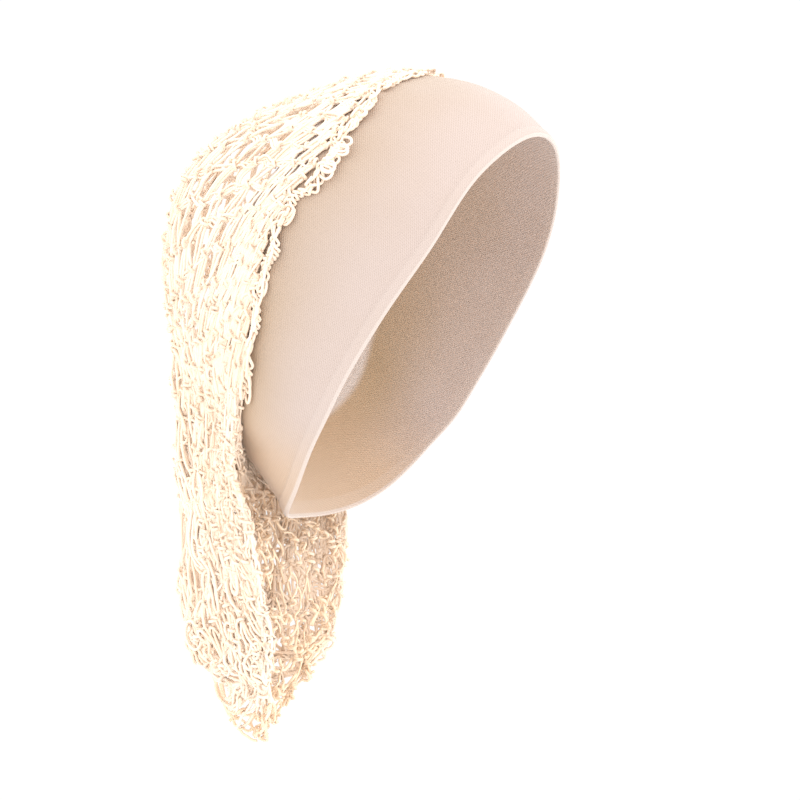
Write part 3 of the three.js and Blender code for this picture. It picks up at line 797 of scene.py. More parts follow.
def net_rows(first, last, settings):
    """Batches of yarns of the net between two rows of its knots"""
    rows = lattice(settings["seed"], settings["scatter"])
    batches = []
    for index in range(first, last):
        rng = np.random.default_rng((settings["seed"], index))
        row = rows[index]
        following = rows[index + 1]
        here = dict(settings, limp=row["limp"], slide=float(row["along"].mean()))
        left, right = neighbours(row, following)
        ends = np.concatenate((left, right))
        starts = np.concatenate((np.arange(len(left)), np.arange(len(right))))
        if index < CROSSED_ROWS or index >= DENSE_FROM_ROW:
            outer = np.flatnonzero(near_nape(row["around"], here["slide"]) < OUTER_SIDE)
            ends = np.concatenate((ends, (right[outer] + 1) % len(following["around"])))
            starts = np.concatenate((starts, outer))
        kept = ~thinned(row["around"][starts], here["slide"], rng)
        starts = starts[kept]
        ends = ends[kept]
        paths, normals, tones = strand_paths(pick(row, starts), pick(following, ends), here, rng)
        radius = settings["yarn"] / 2 * rng.uniform(*YARN_THINNING, (len(paths), 1))
        radius = radius * loosened(row["limp"], taut=0.9, more=0.15)
        radius = radius * np.where(tones < NAPE_SHADE_TONE, NAPE_THINNING, 1)[:, None]
        batches.append(yarn_arrays(paths, normals, radius, STRAND_SIDES, tones))
        open_side = LEFT_OUT * near_nape(row["around"], here["slide"])
        knots = pick(row, rng.uniform(0, 1, len(row["around"])) >= open_side)
        paths, normals = knot_paths(knots, here, rng)
        tones = strand_tones_and_shade(knots["around"], here["slide"], rng) * KNOT_TONE * (1 + row["limp"])
        batches.append(yarn_arrays(paths, normals, settings["yarn"] * STRAND_SHARE, STRAND_SIDES, tones))
        batches.extend(bridges(row, here, rng))
        batches.extend(loose_loops(row, here, rng))
        batches.append(fold_strands(row, following, here, rng))
    return batches


def bridges(row, settings, rng):
    """Sagging links between some neighbouring knots of one row"""
    count = len(row["around"])
    seam_rows = 0.08
    near_seam = row["along"].mean() < seam_rows
    often = settings["bridges"] * loosened(settings["limp"], taut=0.5, more=1.5) + 0.6 * near_seam
    often = often * (1 - 0.5 * near_nape(row["around"], settings["slide"]))
    chosen = np.flatnonzero(rng.uniform(0, 1, count) < often)
    start = pick(row, chosen)
    end = pick(row, (chosen + 1) % count)
    share = shares(8)
    bow = np.sin(np.pi * share)
    turned = signed_turn(end["around"] - start["around"])
    around = start["around"][:, None] + turned[:, None] * share
    along = start["along"][:, None] + (end["along"] - start["along"])[:, None] * share
    along = along + rng.uniform(*ROW_LINK["sag"], (len(chosen), 1)) * bow
    lift = rng.uniform(*ROW_LINK["height"], (len(chosen), 1)) * bow
    paths, normals = lay(around, along, lift)
    paths = off_band(crumpled(paths, settings), around, settings)
    tones = strand_tones_and_shade(start["around"], settings["slide"], rng)
    return [yarn_arrays(paths, normals, settings["yarn"] * STRAND_SHARE, STRAND_SIDES, tones)]


def fold_strands(row, following, settings, rng):
    """Strands gathered along the two side folds, where the bag turns in towards the nape"""
    count = 2 * FOLD_STRANDS
    share = shares(9)
    side = np.repeat((1, -1), FOLD_STRANDS)[:, None]
    first = row["along"].mean()
    along = first + (following["along"].mean() - first) * (share * 1.1 - 0.05)
    fold = sample(BAG_LOOPS, "along", "fold_at", along) - FOLD_INSET
    wander = rng.uniform(-3, 3, (count, 1)) + rng.uniform(-4, 4, (count, 1)) * (share - 0.5)
    along = np.broadcast_to(along, wander.shape)
    lift = 0.0004 + rng.uniform(0, 0.0016, (count, 1))
    paths, normals = lay(side * (fold + wander), along, lift)
    paths = crumpled(paths, settings)
    radius = settings["yarn"] * FOLD_SHARE
    return yarn_arrays(paths, normals, radius, STRAND_SIDES, rng.uniform(0.5, 1, count))


def loose_loops(row, settings, rng):
    """Slack loops that stand off the limp part of the net"""
    count = int(round(settings["loops"] * settings["limp"]))
    if count == 0:
        return []
    share = shares(14)
    base = rng.uniform(*SLACK_LOOP["around"], (count, 1))
    angle = sweep(share, count, SLACK_LOOP["turns"], rng)
    size = rng.uniform(*SLACK_LOOP["size"], (count, 1))
    along = row["along"].mean() + rng.normal(0, SLACK_LOOP["spread"], count)
    place, normal = lay(base[:, 0], along, np.zeros(count))
    ahead = unit(np.cross(normal, np.array((0.0, 0.0, 1.0))))
    up = np.cross(ahead, normal)
    squash = rng.uniform(*SLACK_LOOP["squash"], (count, 1))
    lift = rng.uniform(*SLACK_LOOP["height"], (count, 1)) * (0.4 + np.sin(np.pi * share))
    paths = about(place, (ahead, up, normal), (np.cos(angle) * size * squash, np.sin(angle) * size, lift))
    normals = np.broadcast_to(normal[:, None, :], paths.shape)
    paths = crumple(paths, settings["crumple"], 1.0)
    radius = settings["yarn"] * STRAND_SHARE
    return [yarn_arrays(paths, normals, radius, STRAND_SIDES, rng.uniform(0, 1, count))]


def deselect():
    """Leaves edit mode and clears the selection"""
    if bpy.context.object and bpy.context.object.mode != "OBJECT":
        bpy.ops.object.mode_set(mode="OBJECT")
    bpy.ops.object.select_all(action="DESELECT")


class Shader:
    """Short names for the nodes of one material"""

    def __init__(self, name):
        self.material = bpy.data.materials.new(name)
        self.material.use_nodes = True
        self.tree = self.material.node_tree
        self.surface = self.tree.nodes["Principled BSDF"]

    def node(self, kind, **settings):
        """A new node with its settings"""
        made = self.tree.nodes.new(kind)
        for key, value in settings.items():
            setattr(made, key, value)
        return made

    def put(self, value, socket):
        """Links a socket to another's output, or sets its value"""
        if isinstance(value, bpy.types.NodeSocket):
            self.tree.links.new(value, socket)
        else:
            socket.default_value = value

    def math(self, operation, first, second=0.0):
        """The outcome of a sum on one or two values"""
        made = self.node("ShaderNodeMath", operation=operation)
        self.put(first, made.inputs[0])
        self.put(second, made.inputs[1])
        return made.outputs[0]

    def mix(self, share, first, second):
        """Two colours mixed, with a share of the second"""
        made = self.node("ShaderNodeMix", data_type="RGBA")
        self.put(share, made.inputs["Factor"])
        self.put(first, made.inputs["A"])
        self.put(second, made.inputs["B"])
        return made.outputs["Result"]

    def ramp(self, value, low, high):
        """A smooth rise from nought to one, as a value goes from low to high"""
        made = self.node("ShaderNodeMapRange", interpolation_type="SMOOTHSTEP")
        self.put(value, made.inputs["Value"])
        made.inputs["From Min"].default_value = low
        made.inputs["From Max"].default_value = high
        return made.outputs["Result"]

    def part(self, value, low, high, most):
        """A smooth rise from nought to the given share, as a value goes from low to high"""
        return self.math("MULTIPLY", self.ramp(value, low, high), most)

    def noise(self, scale, detail):
        """Soft blotches on the object's own coordinates"""
        place = self.node("ShaderNodeTexCoord")
        made = self.node("ShaderNodeTexNoise")
        made.inputs["Scale"].default_value = scale
        made.inputs["Detail"].default_value = detail
        self.tree.links.new(place.outputs["Object"], made.inputs["Vector"])
        return made.outputs["Fac"]

    def attribute(self, name):
        """A value that the piece's corners carry"""
        return self.node("ShaderNodeAttribute", attribute_name=name).outputs["Fac"]

    def surface_places(self):
        """The two coordinates of the piece's own UV map"""
        split = self.node("ShaderNodeSeparateXYZ")
        uv = self.node("ShaderNodeUVMap", uv_map="UVMap")
        self.tree.links.new(uv.outputs[0], split.inputs[0])
        return split.outputs["X"], split.outputs["Y"]

    def fibres(self, tint, roughness, sheen, sheen_roughness):
        """A dull coloured surface with the soft sheen of fibres"""
        inputs = self.surface.inputs
        self.put(tint, inputs["Base Color"])
        inputs["Roughness"].default_value = roughness
        inputs["Specular IOR Level"].default_value = 0.2
        inputs["Sheen Weight"].default_value = sheen
        inputs["Sheen Roughness"].default_value = sheen_roughness

    def bump(self, value, distance, strength):
        """Fine relief on the surface"""
        made = self.node("ShaderNodeBump")
        made.inputs["Distance"].default_value = distance
        made.inputs["Strength"].default_value = strength
        self.put(value, made.inputs["Height"])
        self.tree.links.new(made.outputs["Normal"], self.surface.inputs["Normal"])


def yarn_material(name, colour, deep, shade):
    """Soft plied yarn: a slight sheen, ply lines, a tone for each strand, painted shade on the side of each
    strand that faces into the bag, and the painted shade colour on strands towards the nape
    """
    shader = Shader(name)
    tone = shader.attribute("tone")
    blotch = shader.noise(scale=55, detail=2)
    pale = shader.math("MULTIPLY", shader.math("ADD", tone, blotch), 0.5)
    tint = shader.mix(shader.ramp(pale, low=0.3, high=0.8), (*deep, 1), (*colour, 1))
    # Painted shade: strands with a tone below the nape threshold, on the bag's side towards the nape, take
    # the shade colour
    tint = shader.mix(shader.ramp(tone, NAPE_SHADE_TONE - 0.5, NAPE_SHADE_TONE), (*shade, 1), tint)
    # Painted shade: the half of each strand that faces into the bag is darkened towards the shade colour
    outward = shader.attribute("outward")
    inward_shade = shader.part(outward, low=0.5, high=0.0, most=0.2)
    tint = shader.mix(inward_shade, tint, (*shade, 1))
    shader.fibres(tint, roughness=0.5, sheen=0.35, sheen_roughness=0.4)
    plies = 3
    pitch = 0.0042
    around, along = shader.surface_places()
    turned = shader.math("MULTIPLY", around, 2 * math.pi * plies)
    slid = shader.math("MULTIPLY", along, 2 * math.pi * plies / pitch)
    ply = shader.math("SINE", shader.math("ADD", turned, slid))
    shader.bump(ply, distance=0.00006, strength=0.25)
    return shader.material


def knit_material(name, colour, deep, nape, rim):
    """Fine matte stretch knit with a diagonal twill line, with painted shade behind the ear and towards the
    net, a painted glow at the nape, painted sheen on the hem, a painted highlight on its front edge and
    painted light on the cloth under the net
    """
    shader = Shader(name)
    back, turned = shader.surface_places()
    twill = 0.00125
    twill_slant = 0.8
    rib = 0.001
    rib_share = 0.5
    diagonal = shader.math("ADD", back, shader.math("MULTIPLY", turned, twill_slant))
    line = shader.math("SINE", shader.math("MULTIPLY", diagonal, 2 * math.pi / twill))
    stitch = shader.math("SINE", shader.math("MULTIPLY", turned, 2 * math.pi / rib))
    weave = shader.math("ADD", line, shader.math("MULTIPLY", stitch, rib_share))
    shader.bump(weave, distance=0.00007, strength=0.8)
    across = shader.attribute("across")
    behind = shader.attribute("behind")
    blotch = shader.part(shader.noise(scale=30, detail=3), low=0.35, high=0.65, most=0.08)
    # Painted shade: the knit darkens from its front edge towards the net, partly over the forehead and most
    # behind the ear, with a faint mottle added
    forehead_shade_share = 0.58
    shade_toward_nape = shader.part(behind, low=0.4, high=0.75, most=0.42)
    shade_toward_nape = shader.math("ADD", shade_toward_nape, forehead_shade_share)
    shade_and_mottle = shader.math("MULTIPLY", shader.ramp(across, low=0.1, high=0.85), shade_toward_nape)
    shade_and_mottle = shader.math("ADD", shade_and_mottle, blotch)
    tint = shader.mix(shade_and_mottle, (*colour, 1), (*deep, 1))
    # Painted light: a warm glow at the nape, for light that shines through the thin cloth there
    tint = shader.mix(shader.part(behind, low=0.7, high=0.86, most=0.8), tint, (*nape, 1))
    deepest_weave = 1 + rib_share
    grain_share = 0.11
    grain_tone = 0.7
    grain = shader.math("MULTIPLY", shader.math("ADD", weave, deepest_weave), grain_share)
    tint = shader.mix(grain, tint, (*(part * grain_tone for part in deep), 1))
    # Painted sheen: a paler strip over the turned hem; painted highlight: a bright line along its front edge
    hem = shader.part(back, low=HEM_WIDTH + 0.0012, high=HEM_WIDTH + 0.0002, most=0.15)
    hem_edge_highlight = shader.part(back, low=0.0013, high=0.0006, most=0.8)
    # Painted light: the cloth under the net, which lies in the net's shadow, is lifted towards the pale edge
    # colour
    under_net_light = shader.ramp(across, low=0.82, high=0.9)
    pale = shader.math("MAXIMUM", shader.math("MAXIMUM", hem, hem_edge_highlight), under_net_light)
    tint = shader.mix(pale, tint, (*rim, 1))
    shader.fibres(tint, roughness=0.85, sheen=0.3, sheen_roughness=0.5)
    return shader.material


def finish_piece(piece, material, node):
    """Gives a piece its material and ties it to the solid that it stands for"""
    piece.data.materials.clear()
    piece.data.materials.append(material)
    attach(piece, "root")
    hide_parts(node)


# Closed section of the band: how far back from its front edge, as a length and a share of the width, how far
# off the worn form, and into how many parts the cloth from there to the next place is cut
BAND_PROFILE = (
    {"back": 0, "share": 0, "lift": 0.0004, "parts": 2},
    {"back": -0.0003, "share": 0, "lift": 0.0011, "parts": 2},
    {"back": 0.0002, "share": 0, "lift": 0.0019, "parts": 2},
    {"back": 0.0011, "share": 0, "lift": HEM_WALL, "parts": 2},
    {"back": 0.0034, "share": 0, "lift": HEM_WALL - 0.0002, "parts": 2},
    {"back": HEM_WIDTH, "share": 0, "lift": HEM_WALL - 0.0003, "parts": 2},
    {"back": HEM_WIDTH + 0.0006, "share": 0, "lift": BAND_WALL, "parts": 26},
    {"back": 0, "share": 1, "lift": BAND_WALL, "parts": 2},
    {"back": 0, "share": 1, "lift": 0, "parts": 10},
)


def band_section():
    """The band's closed section, cut fine"""
    keys = ("back", "share", "lift")
    rows = []
    for place, following in zip(BAND_PROFILE, (*BAND_PROFILE[1:], BAND_PROFILE[0])):
        for part in range(place["parts"]):
            share = part / place["parts"]
            rows.append([place[key] + (following[key] - place[key]) * share for key in keys])
    rows.append([BAND_PROFILE[0][key] for key in keys])
    return np.array(rows)


class BandSettings(bpy.types.PropertyGroup):
    turns: IntProperty(
        name="Steps Round", description="Steps of the cloth round the head", default=288, min=48
    )
    ease: FloatProperty(
        name="Ripple", description="Height of the cloth's slight ripples", default=0.00022, subtype="DISTANCE"
    )
    cut_width: FloatProperty(
        name="Cut Width", description="Width of the cloth, laid flat", default=0.078, subtype="DISTANCE"
    )
    cut_length: FloatProperty(
        name="Cut Length",
        description="Length of the cloth round the head, laid flat",
        default=0.52,
        subtype="DISTANCE",
    )
    colour: FloatVectorProperty(
        name="Colour",
        description="Colour of the knit over the forehead",
        subtype="COLOR",
        default=(0.565, 0.468, 0.436),
    )
    # Painted shade colour of the knit behind the ear and near the net; a darker share of it also draws the
    # twill lines
    deep: FloatVectorProperty(
        name="Deep Colour",
        description="Colour of the knit behind the ear, near the net",
        subtype="COLOR",
        default=(0.465, 0.335, 0.218),
    )
    # Painted light: the warm glow of light through the thin cloth at the nape
    nape: FloatVectorProperty(
        name="Nape Colour",
        description="Colour of the knit at the nape",
        subtype="COLOR",
        default=(0.595, 0.415, 0.275),
    )
    # Pale colour for the painted sheen on the turned hem, the painted highlight on its front edge and the
    # painted light on the cloth under the net
    rim: FloatVectorProperty(
        name="Edge Colour",
        description="Colour of the turned hem, and of the cloth under the net",
        subtype="COLOR",
        default=(0.64, 0.555, 0.51),
    )


class NetSettings(bpy.types.PropertyGroup):
    yarn: FloatProperty(
        name="Yarn", description="Diameter of the crochet yarn", default=0.00168, subtype="DISTANCE"
    )
    scatter: FloatProperty(
        name="Scatter", description="How uneven the knots lie", default=0.2, subtype="FACTOR"
    )
    crumple: FloatProperty(
        name="Crumple", description="How far the limp net is crumpled", default=0.0028, subtype="DISTANCE"
    )
    bridges: FloatProperty(
        name="Links",
        description="Share of neighbouring knots joined by a link",
        default=0.3,
        subtype="FACTOR",
    )
    loops: IntProperty(
        name="Loops", description="Loose loops in each row of the limp net", default=20, min=0
    )
    seed: IntProperty(name="Seed", description="Which net of many alike", default=11)
    colour: FloatVectorProperty(
        name="Colour", description="Colour of the yarn", subtype="COLOR", default=(0.95, 0.81, 0.69)
    )
    deep: FloatVectorProperty(
        name="Deep Colour",
        description="Colour of the darker strands",
        subtype="COLOR",
        default=(0.93, 0.76, 0.61),
    )
    # Painted shade colour: the half of each strand that faces into the bag darkens towards it, and strands on
    # the side towards the nape take it
    shade: FloatVectorProperty(
        name="Inner Colour",
        description="Colour of the strands' inner side, and of those towards the nape",
        subtype="COLOR",
        default=(0.925, 0.72, 0.53),
    )


class StageSettings(bpy.types.PropertyGroup):
    floor_drop: FloatProperty(
        name="Floor Drop",
        description="How far below the cap's top the floor lies",
        default=0.46,
        subtype="DISTANCE",
    )
    distance: FloatProperty(
        name="Camera Distance",
        description="From the camera to the cap's middle",
        default=1.6,
        subtype="DISTANCE",
    )
    azimuth: FloatProperty(
        name="Camera Turn",
        description="Degrees from the cap's front to the camera",
        default=-65,
        min=-180,
        max=180,
    )
    lens: FloatProperty(name="Lens", description="Focal length in millimetres", default=156.5)
    daylight: FloatProperty(name="Daylight", description="Strength of the soft light all round", default=1.6)
    key: FloatProperty(
        name="Key Light", description="Power of the light in front and above", default=6, unit="POWER"
    )


def band_cloth(turns, ease):
    """The worn cloth of the band: its points, its turn around, how far back it lies, and that as a share"""
    section = band_section()
    around = -180 + 360 * np.arange(turns + 1) / turns
    around[-1] = -180
    width = band_place(around, np.zeros(around.shape))[1][:, None]
    back = section[:, 0][None, :] + section[:, 1][None, :] * width
    around = np.broadcast_to(around[:, None], back.shape)
    angle = band_place(around, back)[0]
    swell = np.radians(around)
    ripple = np.sin(9 * swell + 60 * back) + 0.7 * np.sin(17 * swell - 110 * back + 1)
    ripple = (ripple + 1.7) * np.sin(np.pi * np.clip(back / width, 0, 1)) * ease
    outer = (section[:, 2] > 0.0003)[None, :]
    lift = section[:, 2][None, :] + band_fold(around, back / width) + np.where(outer, ripple, 0)
    return on_head(angle, around, lift)[0], around, back, back / width


class CAP_OT_headband(bpy.types.Operator):
    """The wide band of fine stretch knit with its turned hem"""

    bl_idname = "cap.headband"
    bl_label = "Headband"

    def execute(self, context):
        settings = context.scene.cap_band
        turns = settings.turns
        points, around, back, across = band_cloth(turns, settings.ease)
        rows = points.shape[1]
        deselect()
        bpy.ops.mesh.primitive_grid_add(x_subdivisions=rows - 1, y_subdivisions=turns, size=1)
        piece = context.object
        piece.name = "headband_knit"
        mesh = piece.data
        corners = np.empty(len(mesh.vertices) * 3)
        mesh.vertices.foreach_get("co", corners)
        corners = corners.reshape(-1, 3)
        row = np.round((corners[:, 0] + 0.5) * (rows - 1)).astype(int)
        turn = np.round((corners[:, 1] + 0.5) * turns).astype(int)
        mesh.vertices.foreach_set("co", points[turn, row].ravel().astype(np.float32))
        uv = mesh.uv_layers.active or mesh.uv_layers.new(name="UVMap")
        uv.name = "UVMap"
        index = np.empty(len(mesh.loops), np.int32)
        mesh.loops.foreach_get("vertex_index", index)
        places = np.stack((back[turn, row], 2 * np.pi * GIRTH_RADIUS * turn / turns), axis=-1)
        uv.data.foreach_set("uv", places[index].ravel().astype(np.float32))
        behind = np.abs(around) / 180
        add_attributes(mesh, {"across": across[turn, row], "behind": behind[turn, row]})
        mesh.update()
        bpy.ops.object.mode_set(mode="EDIT")
        bpy.ops.mesh.select_all(action="SELECT")
        bpy.ops.mesh.remove_doubles(threshold=1e-6)
        bpy.ops.mesh.normals_make_consistent(inside=False)
        bpy.ops.object.mode_set(mode="OBJECT")
        bpy.ops.object.shade_smooth_by_angle(angle=radians(50))
        material = knit_material("stretch_knit", settings.colour, settings.deep, settings.nape, settings.rim)
        finish_piece(piece, material, "headband")
        return {"FINISHED"}


class CAP_OT_net(bpy.types.Operator):
    """The crocheted net of plied yarn, from the seam on the band to the gathered centre"""

    bl_idname = "cap.net"
    bl_label = "Hair Net"

    def execute(self, context):
        settings = context.scene.cap_net
        keys = ("yarn", "scatter", "crumple", "bridges", "loops", "seed")
        values = {key: getattr(settings, key) for key in keys}
        material = yarn_material("cream_yarn", settings.colour, settings.deep, settings.shade)
        deselect()
        for part in NET_PIECES:
            piece = yarn_mesh(part["name"], net_rows(part["first"], part["last"], values))
            finish_piece(piece, material, "net_bag")
        return {"FINISHED"}


# Clumps and loops of the edging that stand out on the band, by degrees round from the forehead: how far they
# reach forward and how wide they are, in millimetres
EDGING_LOOPS = (
    {"around": 22, "reach": 5, "wide": 5, "strands": 4},
    {"around": 38, "reach": 8, "wide": 7, "strands": 6},
    {"around": 44, "reach": 6, "wide": 8, "strands": 6},
    {"around": 52, "reach": 9, "wide": 6, "strands": 3},
    {"around": 60, "reach": 8, "wide": 7, "strands": 4},
    {"around": 68, "reach": 4, "wide": 7, "strands": 2},
    {"around": 98, "reach": 5, "wide": 12, "strands": 2},
    {"around": 106, "reach": 6, "wide": 13, "strands": 2},
    {"around": 117, "reach": 4, "wide": 18, "strands": 2},
    {"around": 125, "reach": 10, "wide": 17, "strands": 1},
    {"around": 130, "reach": 5, "wide": 16, "strands": 2},
    {"around": -24, "reach": 6, "wide": 6, "strands": 5},
    {"around": -46, "reach": 7, "wide": 7, "strands": 5},
    {"around": -63, "reach": 8, "wide": 6, "strands": 3},
    {"around": -92, "reach": 5, "wide": 11, "strands": 2},
    {"around": -108, "reach": 7, "wide": 13, "strands": 1},
)


def along_edge(around, forward, lift, size, reach):
    """Crumpled paths off the seam that stay clear of the band's cloth, and the directions away from it"""
    paths, normals = seam_point(around, forward, lift)
    cloth = BAND_WALL + band_fold(around, SEAM_ACROSS)
    return push_out(crumple(paths, size, reach), EDGING_OFF_BAND + cloth), normals


class EdgingSettings(bpy.types.PropertyGroup):
    yarn: FloatProperty(
        name="Yarn", description="Diameter of the edging's yarn", default=0.0015, subtype="DISTANCE"
    )
    reach: FloatProperty(name="Reach", description="Degrees round from the forehead to its ends", default=134)
    chain: IntProperty(name="Stitches", description="Chain stitches along the edge", default=36, min=20)
    scallops: IntProperty(
        name="Scallops", description="Small uneven loops along the edge", default=120, min=0
    )
    seed: IntProperty(name="Seed", description="Which edging of many alike", default=5)


class CAP_OT_edging(bpy.types.Operator):
    """The gathered crochet chain and its uneven loops along the net's sewn edge"""

    bl_idname = "cap.edging"
    bl_label = "Edging"

    def execute(self, context):
        settings = context.scene.cap_edging
        net = context.scene.cap_net
        rng = np.random.default_rng(settings.seed)
        batches = [self.chain(settings)]
        batches.extend(self.scallops(settings, rng))
        deselect()
        piece = yarn_mesh("net_edge_chain", batches)
        material = yarn_material("edging_yarn", net.colour, net.deep, net.shade)
        finish_piece(piece, material, "net_edging")
        return {"FINISHED"}

    def chain(self, settings):
        """Three strands that cross over each other along the edge"""
        points_a_stitch = 18
        middle = 0.0038
        half_width = 0.0019
        height = 0.001
        share = np.linspace(0, 1, settings.chain * points_a_stitch)
        around = settings.reach * (2 * share - 1)
        wander = 0.0016 * np.sin(share * 61) + 0.0013 * np.sin(share * 143 + 1)
        paths = []
        normals = []
        strands = 3
        for strand in range(strands):
            phase = 2 * np.pi * (share * settings.chain + strand / strands) + 1.2 * np.sin(share * 89)
            forward = middle + wander + half_width * np.sin(phase)
            lift = 0.0019 + height * np.sin(2 * phase + 0.6)
            points, away = along_edge(around, forward, lift, CHAIN_CRUMPLE, 1.0)
            paths.append(points)
            normals.append(away)
        tones = np.array((0.2, 0.55, 0.9))
        return yarn_arrays(np.array(paths), np.array(normals), settings.yarn / 2, CORD_SIDES, tones)

    def scallops(self, settings, rng):
        """Loops that start and end in the chain"""
        limit = settings.reach - 2
        plain = settings.scallops
        around = rng.uniform(-limit, limit, plain)
        reach = rng.uniform(*SCALLOPS["reach"], plain)
        wide = rng.uniform(*SCALLOPS["wide"], plain)
        raised = rng.uniform(*SCALLOPS["height"], plain)
        for loop in EDGING_LOOPS:
            count = loop["strands"]
            around = np.concatenate((around, loop["around"] + rng.normal(0, 1.2, count) * (count > 1)))
            reach = np.concatenate((reach, loop["reach"] * MILLIMETRE * rng.uniform(0.65, 1, count)))
            wide = np.concatenate((wide, loop["wide"] * MILLIMETRE / 2 * rng.uniform(0.7, 1, count)))
            raised = np.concatenate((raised, rng.uniform(0.001, 0.0042, count)))
        share = shares(18)
        count = len(around)
        lean = rng.uniform(*SCALLOPS["lean"], (count, 1))
        bow = np.sin(np.pi * share)
        swing = -np.cos(np.pi * share) * (0.45 + 0.95 * bow)
        degree = np.degrees(wide / GIRTH_RADIUS)[:, None]
        turned = around[:, None] + degree * (swing + lean * bow)
        forward = 0.0025 + reach[:, None] * bow
        lift = 0.0012 + raised[:, None] * bow
        paths, normals = along_edge(turned, forward, lift, LOOP_CRUMPLE, bow)
        radius = settings.yarn * 0.48
        return [yarn_arrays(paths, normals, radius, STRAND_SIDES, rng.uniform(0, 1, count))]


class CAP_OT_centre(bpy.types.Operator):
    """The small dense spiral of crochet that closes the low end of the bag"""

    bl_idname = "cap.centre"
    bl_label = "Gathered Centre"

    def execute(self, context):
        net = context.scene.cap_net
        rng = np.random.default_rng(net.seed)
        rim = NET_POINTS[:-1, -1]
        middle = rim.mean(0)
        first = rim[0] - middle
        outward = np.cross(first, rim[len(rim) // 4] - middle)
        outward = outward / np.linalg.norm(outward)
        if outward @ (middle - HEAD_CENTRE) < 0:
            outward = -outward
        turns = 6
        dome = 0.0032
        stitch_height = 0.0009
        stitches_a_turn = 7.3
        steps = turns * 40
        share = np.linspace(0, 1, steps)
        size = 1.02 - share
        around = share * turns * 360
        index = np.round((around % 360) * GRID_TURNS / 360).astype(int) % GRID_TURNS
        arm = rim[index] - middle
        stitch = stitch_height * np.sin(share * turns * 2 * np.pi * stitches_a_turn)
        path = middle + arm * size[:, None] + outward * (dome * (1 - size**2) + stitch)[:, None]
        second = path + outward * 0.0013 + arm * 0.06
        paths = np.stack((path, second))
        normals = np.broadcast_to(outward, paths.shape)
        batches = [yarn_arrays(paths, normals, net.yarn * 0.55, CORD_SIDES, np.array((0.3, 0.7)))]
        loops = CENTRE_CURLS["count"]
        curl = shares(14)
        spot = rng.integers(0, steps, loops)
        angle = sweep(curl, loops, CENTRE_CURLS["turns"], rng)
        width = rng.uniform(*CENTRE_CURLS["size"], (loops, 1))
        side = unit(np.cross(outward, np.array((0.0, 0.0, 1.0))))
        up = np.cross(side, outward)
        raised = rng.uniform(*CENTRE_CURLS["height"], (loops, 1)) * (0.5 + np.sin(np.pi * curl))
        paths = about(path[spot], (side, up, outward), (np.cos(angle) * width, np.sin(angle) * width, raised))
        normals = np.broadcast_to(outward, paths.shape)
        radius = net.yarn * STRAND_SHARE
        batches.append(yarn_arrays(paths, normals, radius, STRAND_SIDES, rng.uniform(0, 1, loops)))
        deselect()
        piece = yarn_mesh("centre_spiral", batches)
        material = yarn_material("centre_yarn", net.colour, net.deep, net.shade)
        finish_piece(piece, material, "gathered_centre")
        return {"FINISHED"}


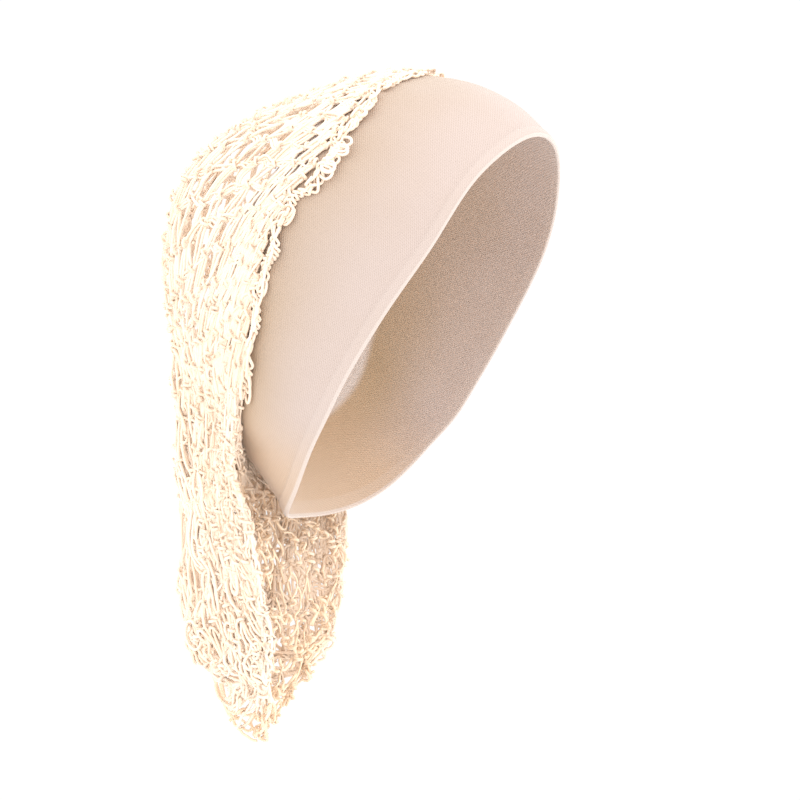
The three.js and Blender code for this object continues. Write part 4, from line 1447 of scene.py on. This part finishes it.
class CAP_OT_stage(bpy.types.Operator):
    """The white floor, the soft light all round, the key light and the camera"""

    bl_idname = "cap.stage"
    bl_label = "Floor, Light and Camera"

    def execute(self, context):
        scene = context.scene
        settings = scene.cap_stage
        deselect()
        bpy.ops.mesh.primitive_circle_add(
            vertices=96, radius=FLOOR_RADIUS, fill_type="NGON", location=(0, 0.02, -settings.floor_drop)
        )
        floor = context.object
        floor.name = "floor"
        bpy.ops.object.transform_apply(location=True, rotation=True, scale=True)
        shader = Shader("white_floor")
        shader.surface.inputs["Base Color"].default_value = (0.92, 0.92, 0.92, 1)
        shader.surface.inputs["Roughness"].default_value = 0.9
        floor.data.materials.append(shader.material)

        world = bpy.data.worlds.new("white_room")
        scene.world = world
        world.use_nodes = True
        nodes = world.node_tree.nodes
        links = world.node_tree.links
        room = nodes["Background"]
        room.inputs["Color"].default_value = (1, 0.99, 0.975, 1)
        room.inputs["Strength"].default_value = settings.daylight
        paper = nodes.new("ShaderNodeBackground")
        paper.inputs["Color"].default_value = (1, 1, 1, 1)
        paper.inputs["Strength"].default_value = PAPER_WHITE
        path = nodes.new("ShaderNodeLightPath")
        choice = nodes.new("ShaderNodeMixShader")
        links.new(path.outputs["Is Camera Ray"], choice.inputs[0])
        links.new(room.outputs[0], choice.inputs[1])
        links.new(paper.outputs[0], choice.inputs[2])
        links.new(choice.outputs[0], nodes["World Output"].inputs["Surface"])

        middle = Vector(CAP_MIDDLE)
        turn = radians(settings.azimuth)
        towards = Vector((math.sin(turn), -math.cos(turn), 0))
        for light in LIGHTS:
            self.light(scene, light, turn + radians(light["turn"]), settings.key * light["power"])

        camera = bpy.data.objects.new("camera", bpy.data.cameras.new("camera"))
        context.collection.objects.link(camera)
        camera.data.lens = settings.lens
        camera.data.sensor_width = 36
        camera.data.dof.use_dof = False
        camera.location = middle + towards * settings.distance
        camera.rotation_euler = (-towards).to_track_quat("-Z", "Y").to_euler()
        scene.camera = camera
        scene.view_settings.view_transform = "Standard"
        return {"FINISHED"}

    def light(self, scene, light, turn, power):
        """A round soft light that faces the cap"""
        lamp = bpy.data.lights.new(light["name"], "AREA")
        lamp.energy = power
        lamp.shape = "DISK"
        lamp.size = light["size"]
        rise = radians(light["rise"])
        away = Vector((math.sin(turn) * math.cos(rise), -math.cos(turn) * math.cos(rise), math.sin(rise)))
        holder = bpy.data.objects.new(light["name"], lamp)
        scene.collection.objects.link(holder)
        holder.location = Vector(CAP_MIDDLE) + away * light["distance"]
        holder.rotation_euler = (-away).to_track_quat("-Z", "Y").to_euler()


class CAP_PT_panel(bpy.types.Panel):
    """Buttons for each piece, in the order that they are made"""

    bl_idname = "CAP_PT_panel"
    bl_label = "Hair Cap"
    bl_space_type = "VIEW_3D"
    bl_region_type = "UI"
    bl_category = "Hair Cap"

    def draw(self, context):
        for operator in OPERATORS:
            self.layout.operator(operator.bl_idname)
        for name in ("cap_band", "cap_net", "cap_edging", "cap_stage"):
            group = getattr(context.scene, name)
            box = self.layout.box()
            for key in group.__annotations__:
                box.prop(group, key)


GROUPS = {
    "cap_band": BandSettings,
    "cap_net": NetSettings,
    "cap_edging": EdgingSettings,
    "cap_stage": StageSettings,
}
OPERATORS = (CAP_OT_headband, CAP_OT_net, CAP_OT_edging, CAP_OT_centre, CAP_OT_stage)


def register():
    for kind in (*GROUPS.values(), *OPERATORS, CAP_PT_panel):
        bpy.utils.register_class(kind)
    for name, group in GROUPS.items():
        setattr(bpy.types.Scene, name, PointerProperty(type=group))


def unregister():
    for name in GROUPS:
        delattr(bpy.types.Scene, name)
    for kind in reversed((*GROUPS.values(), *OPERATORS, CAP_PT_panel)):
        bpy.utils.unregister_class(kind)


def main():
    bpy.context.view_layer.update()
    register()
    bpy.ops.cap.headband()
    bpy.ops.cap.net()
    bpy.ops.cap.edging()
    bpy.ops.cap.centre()
    bpy.ops.cap.stage()


if __name__ == "__main__":
    main()
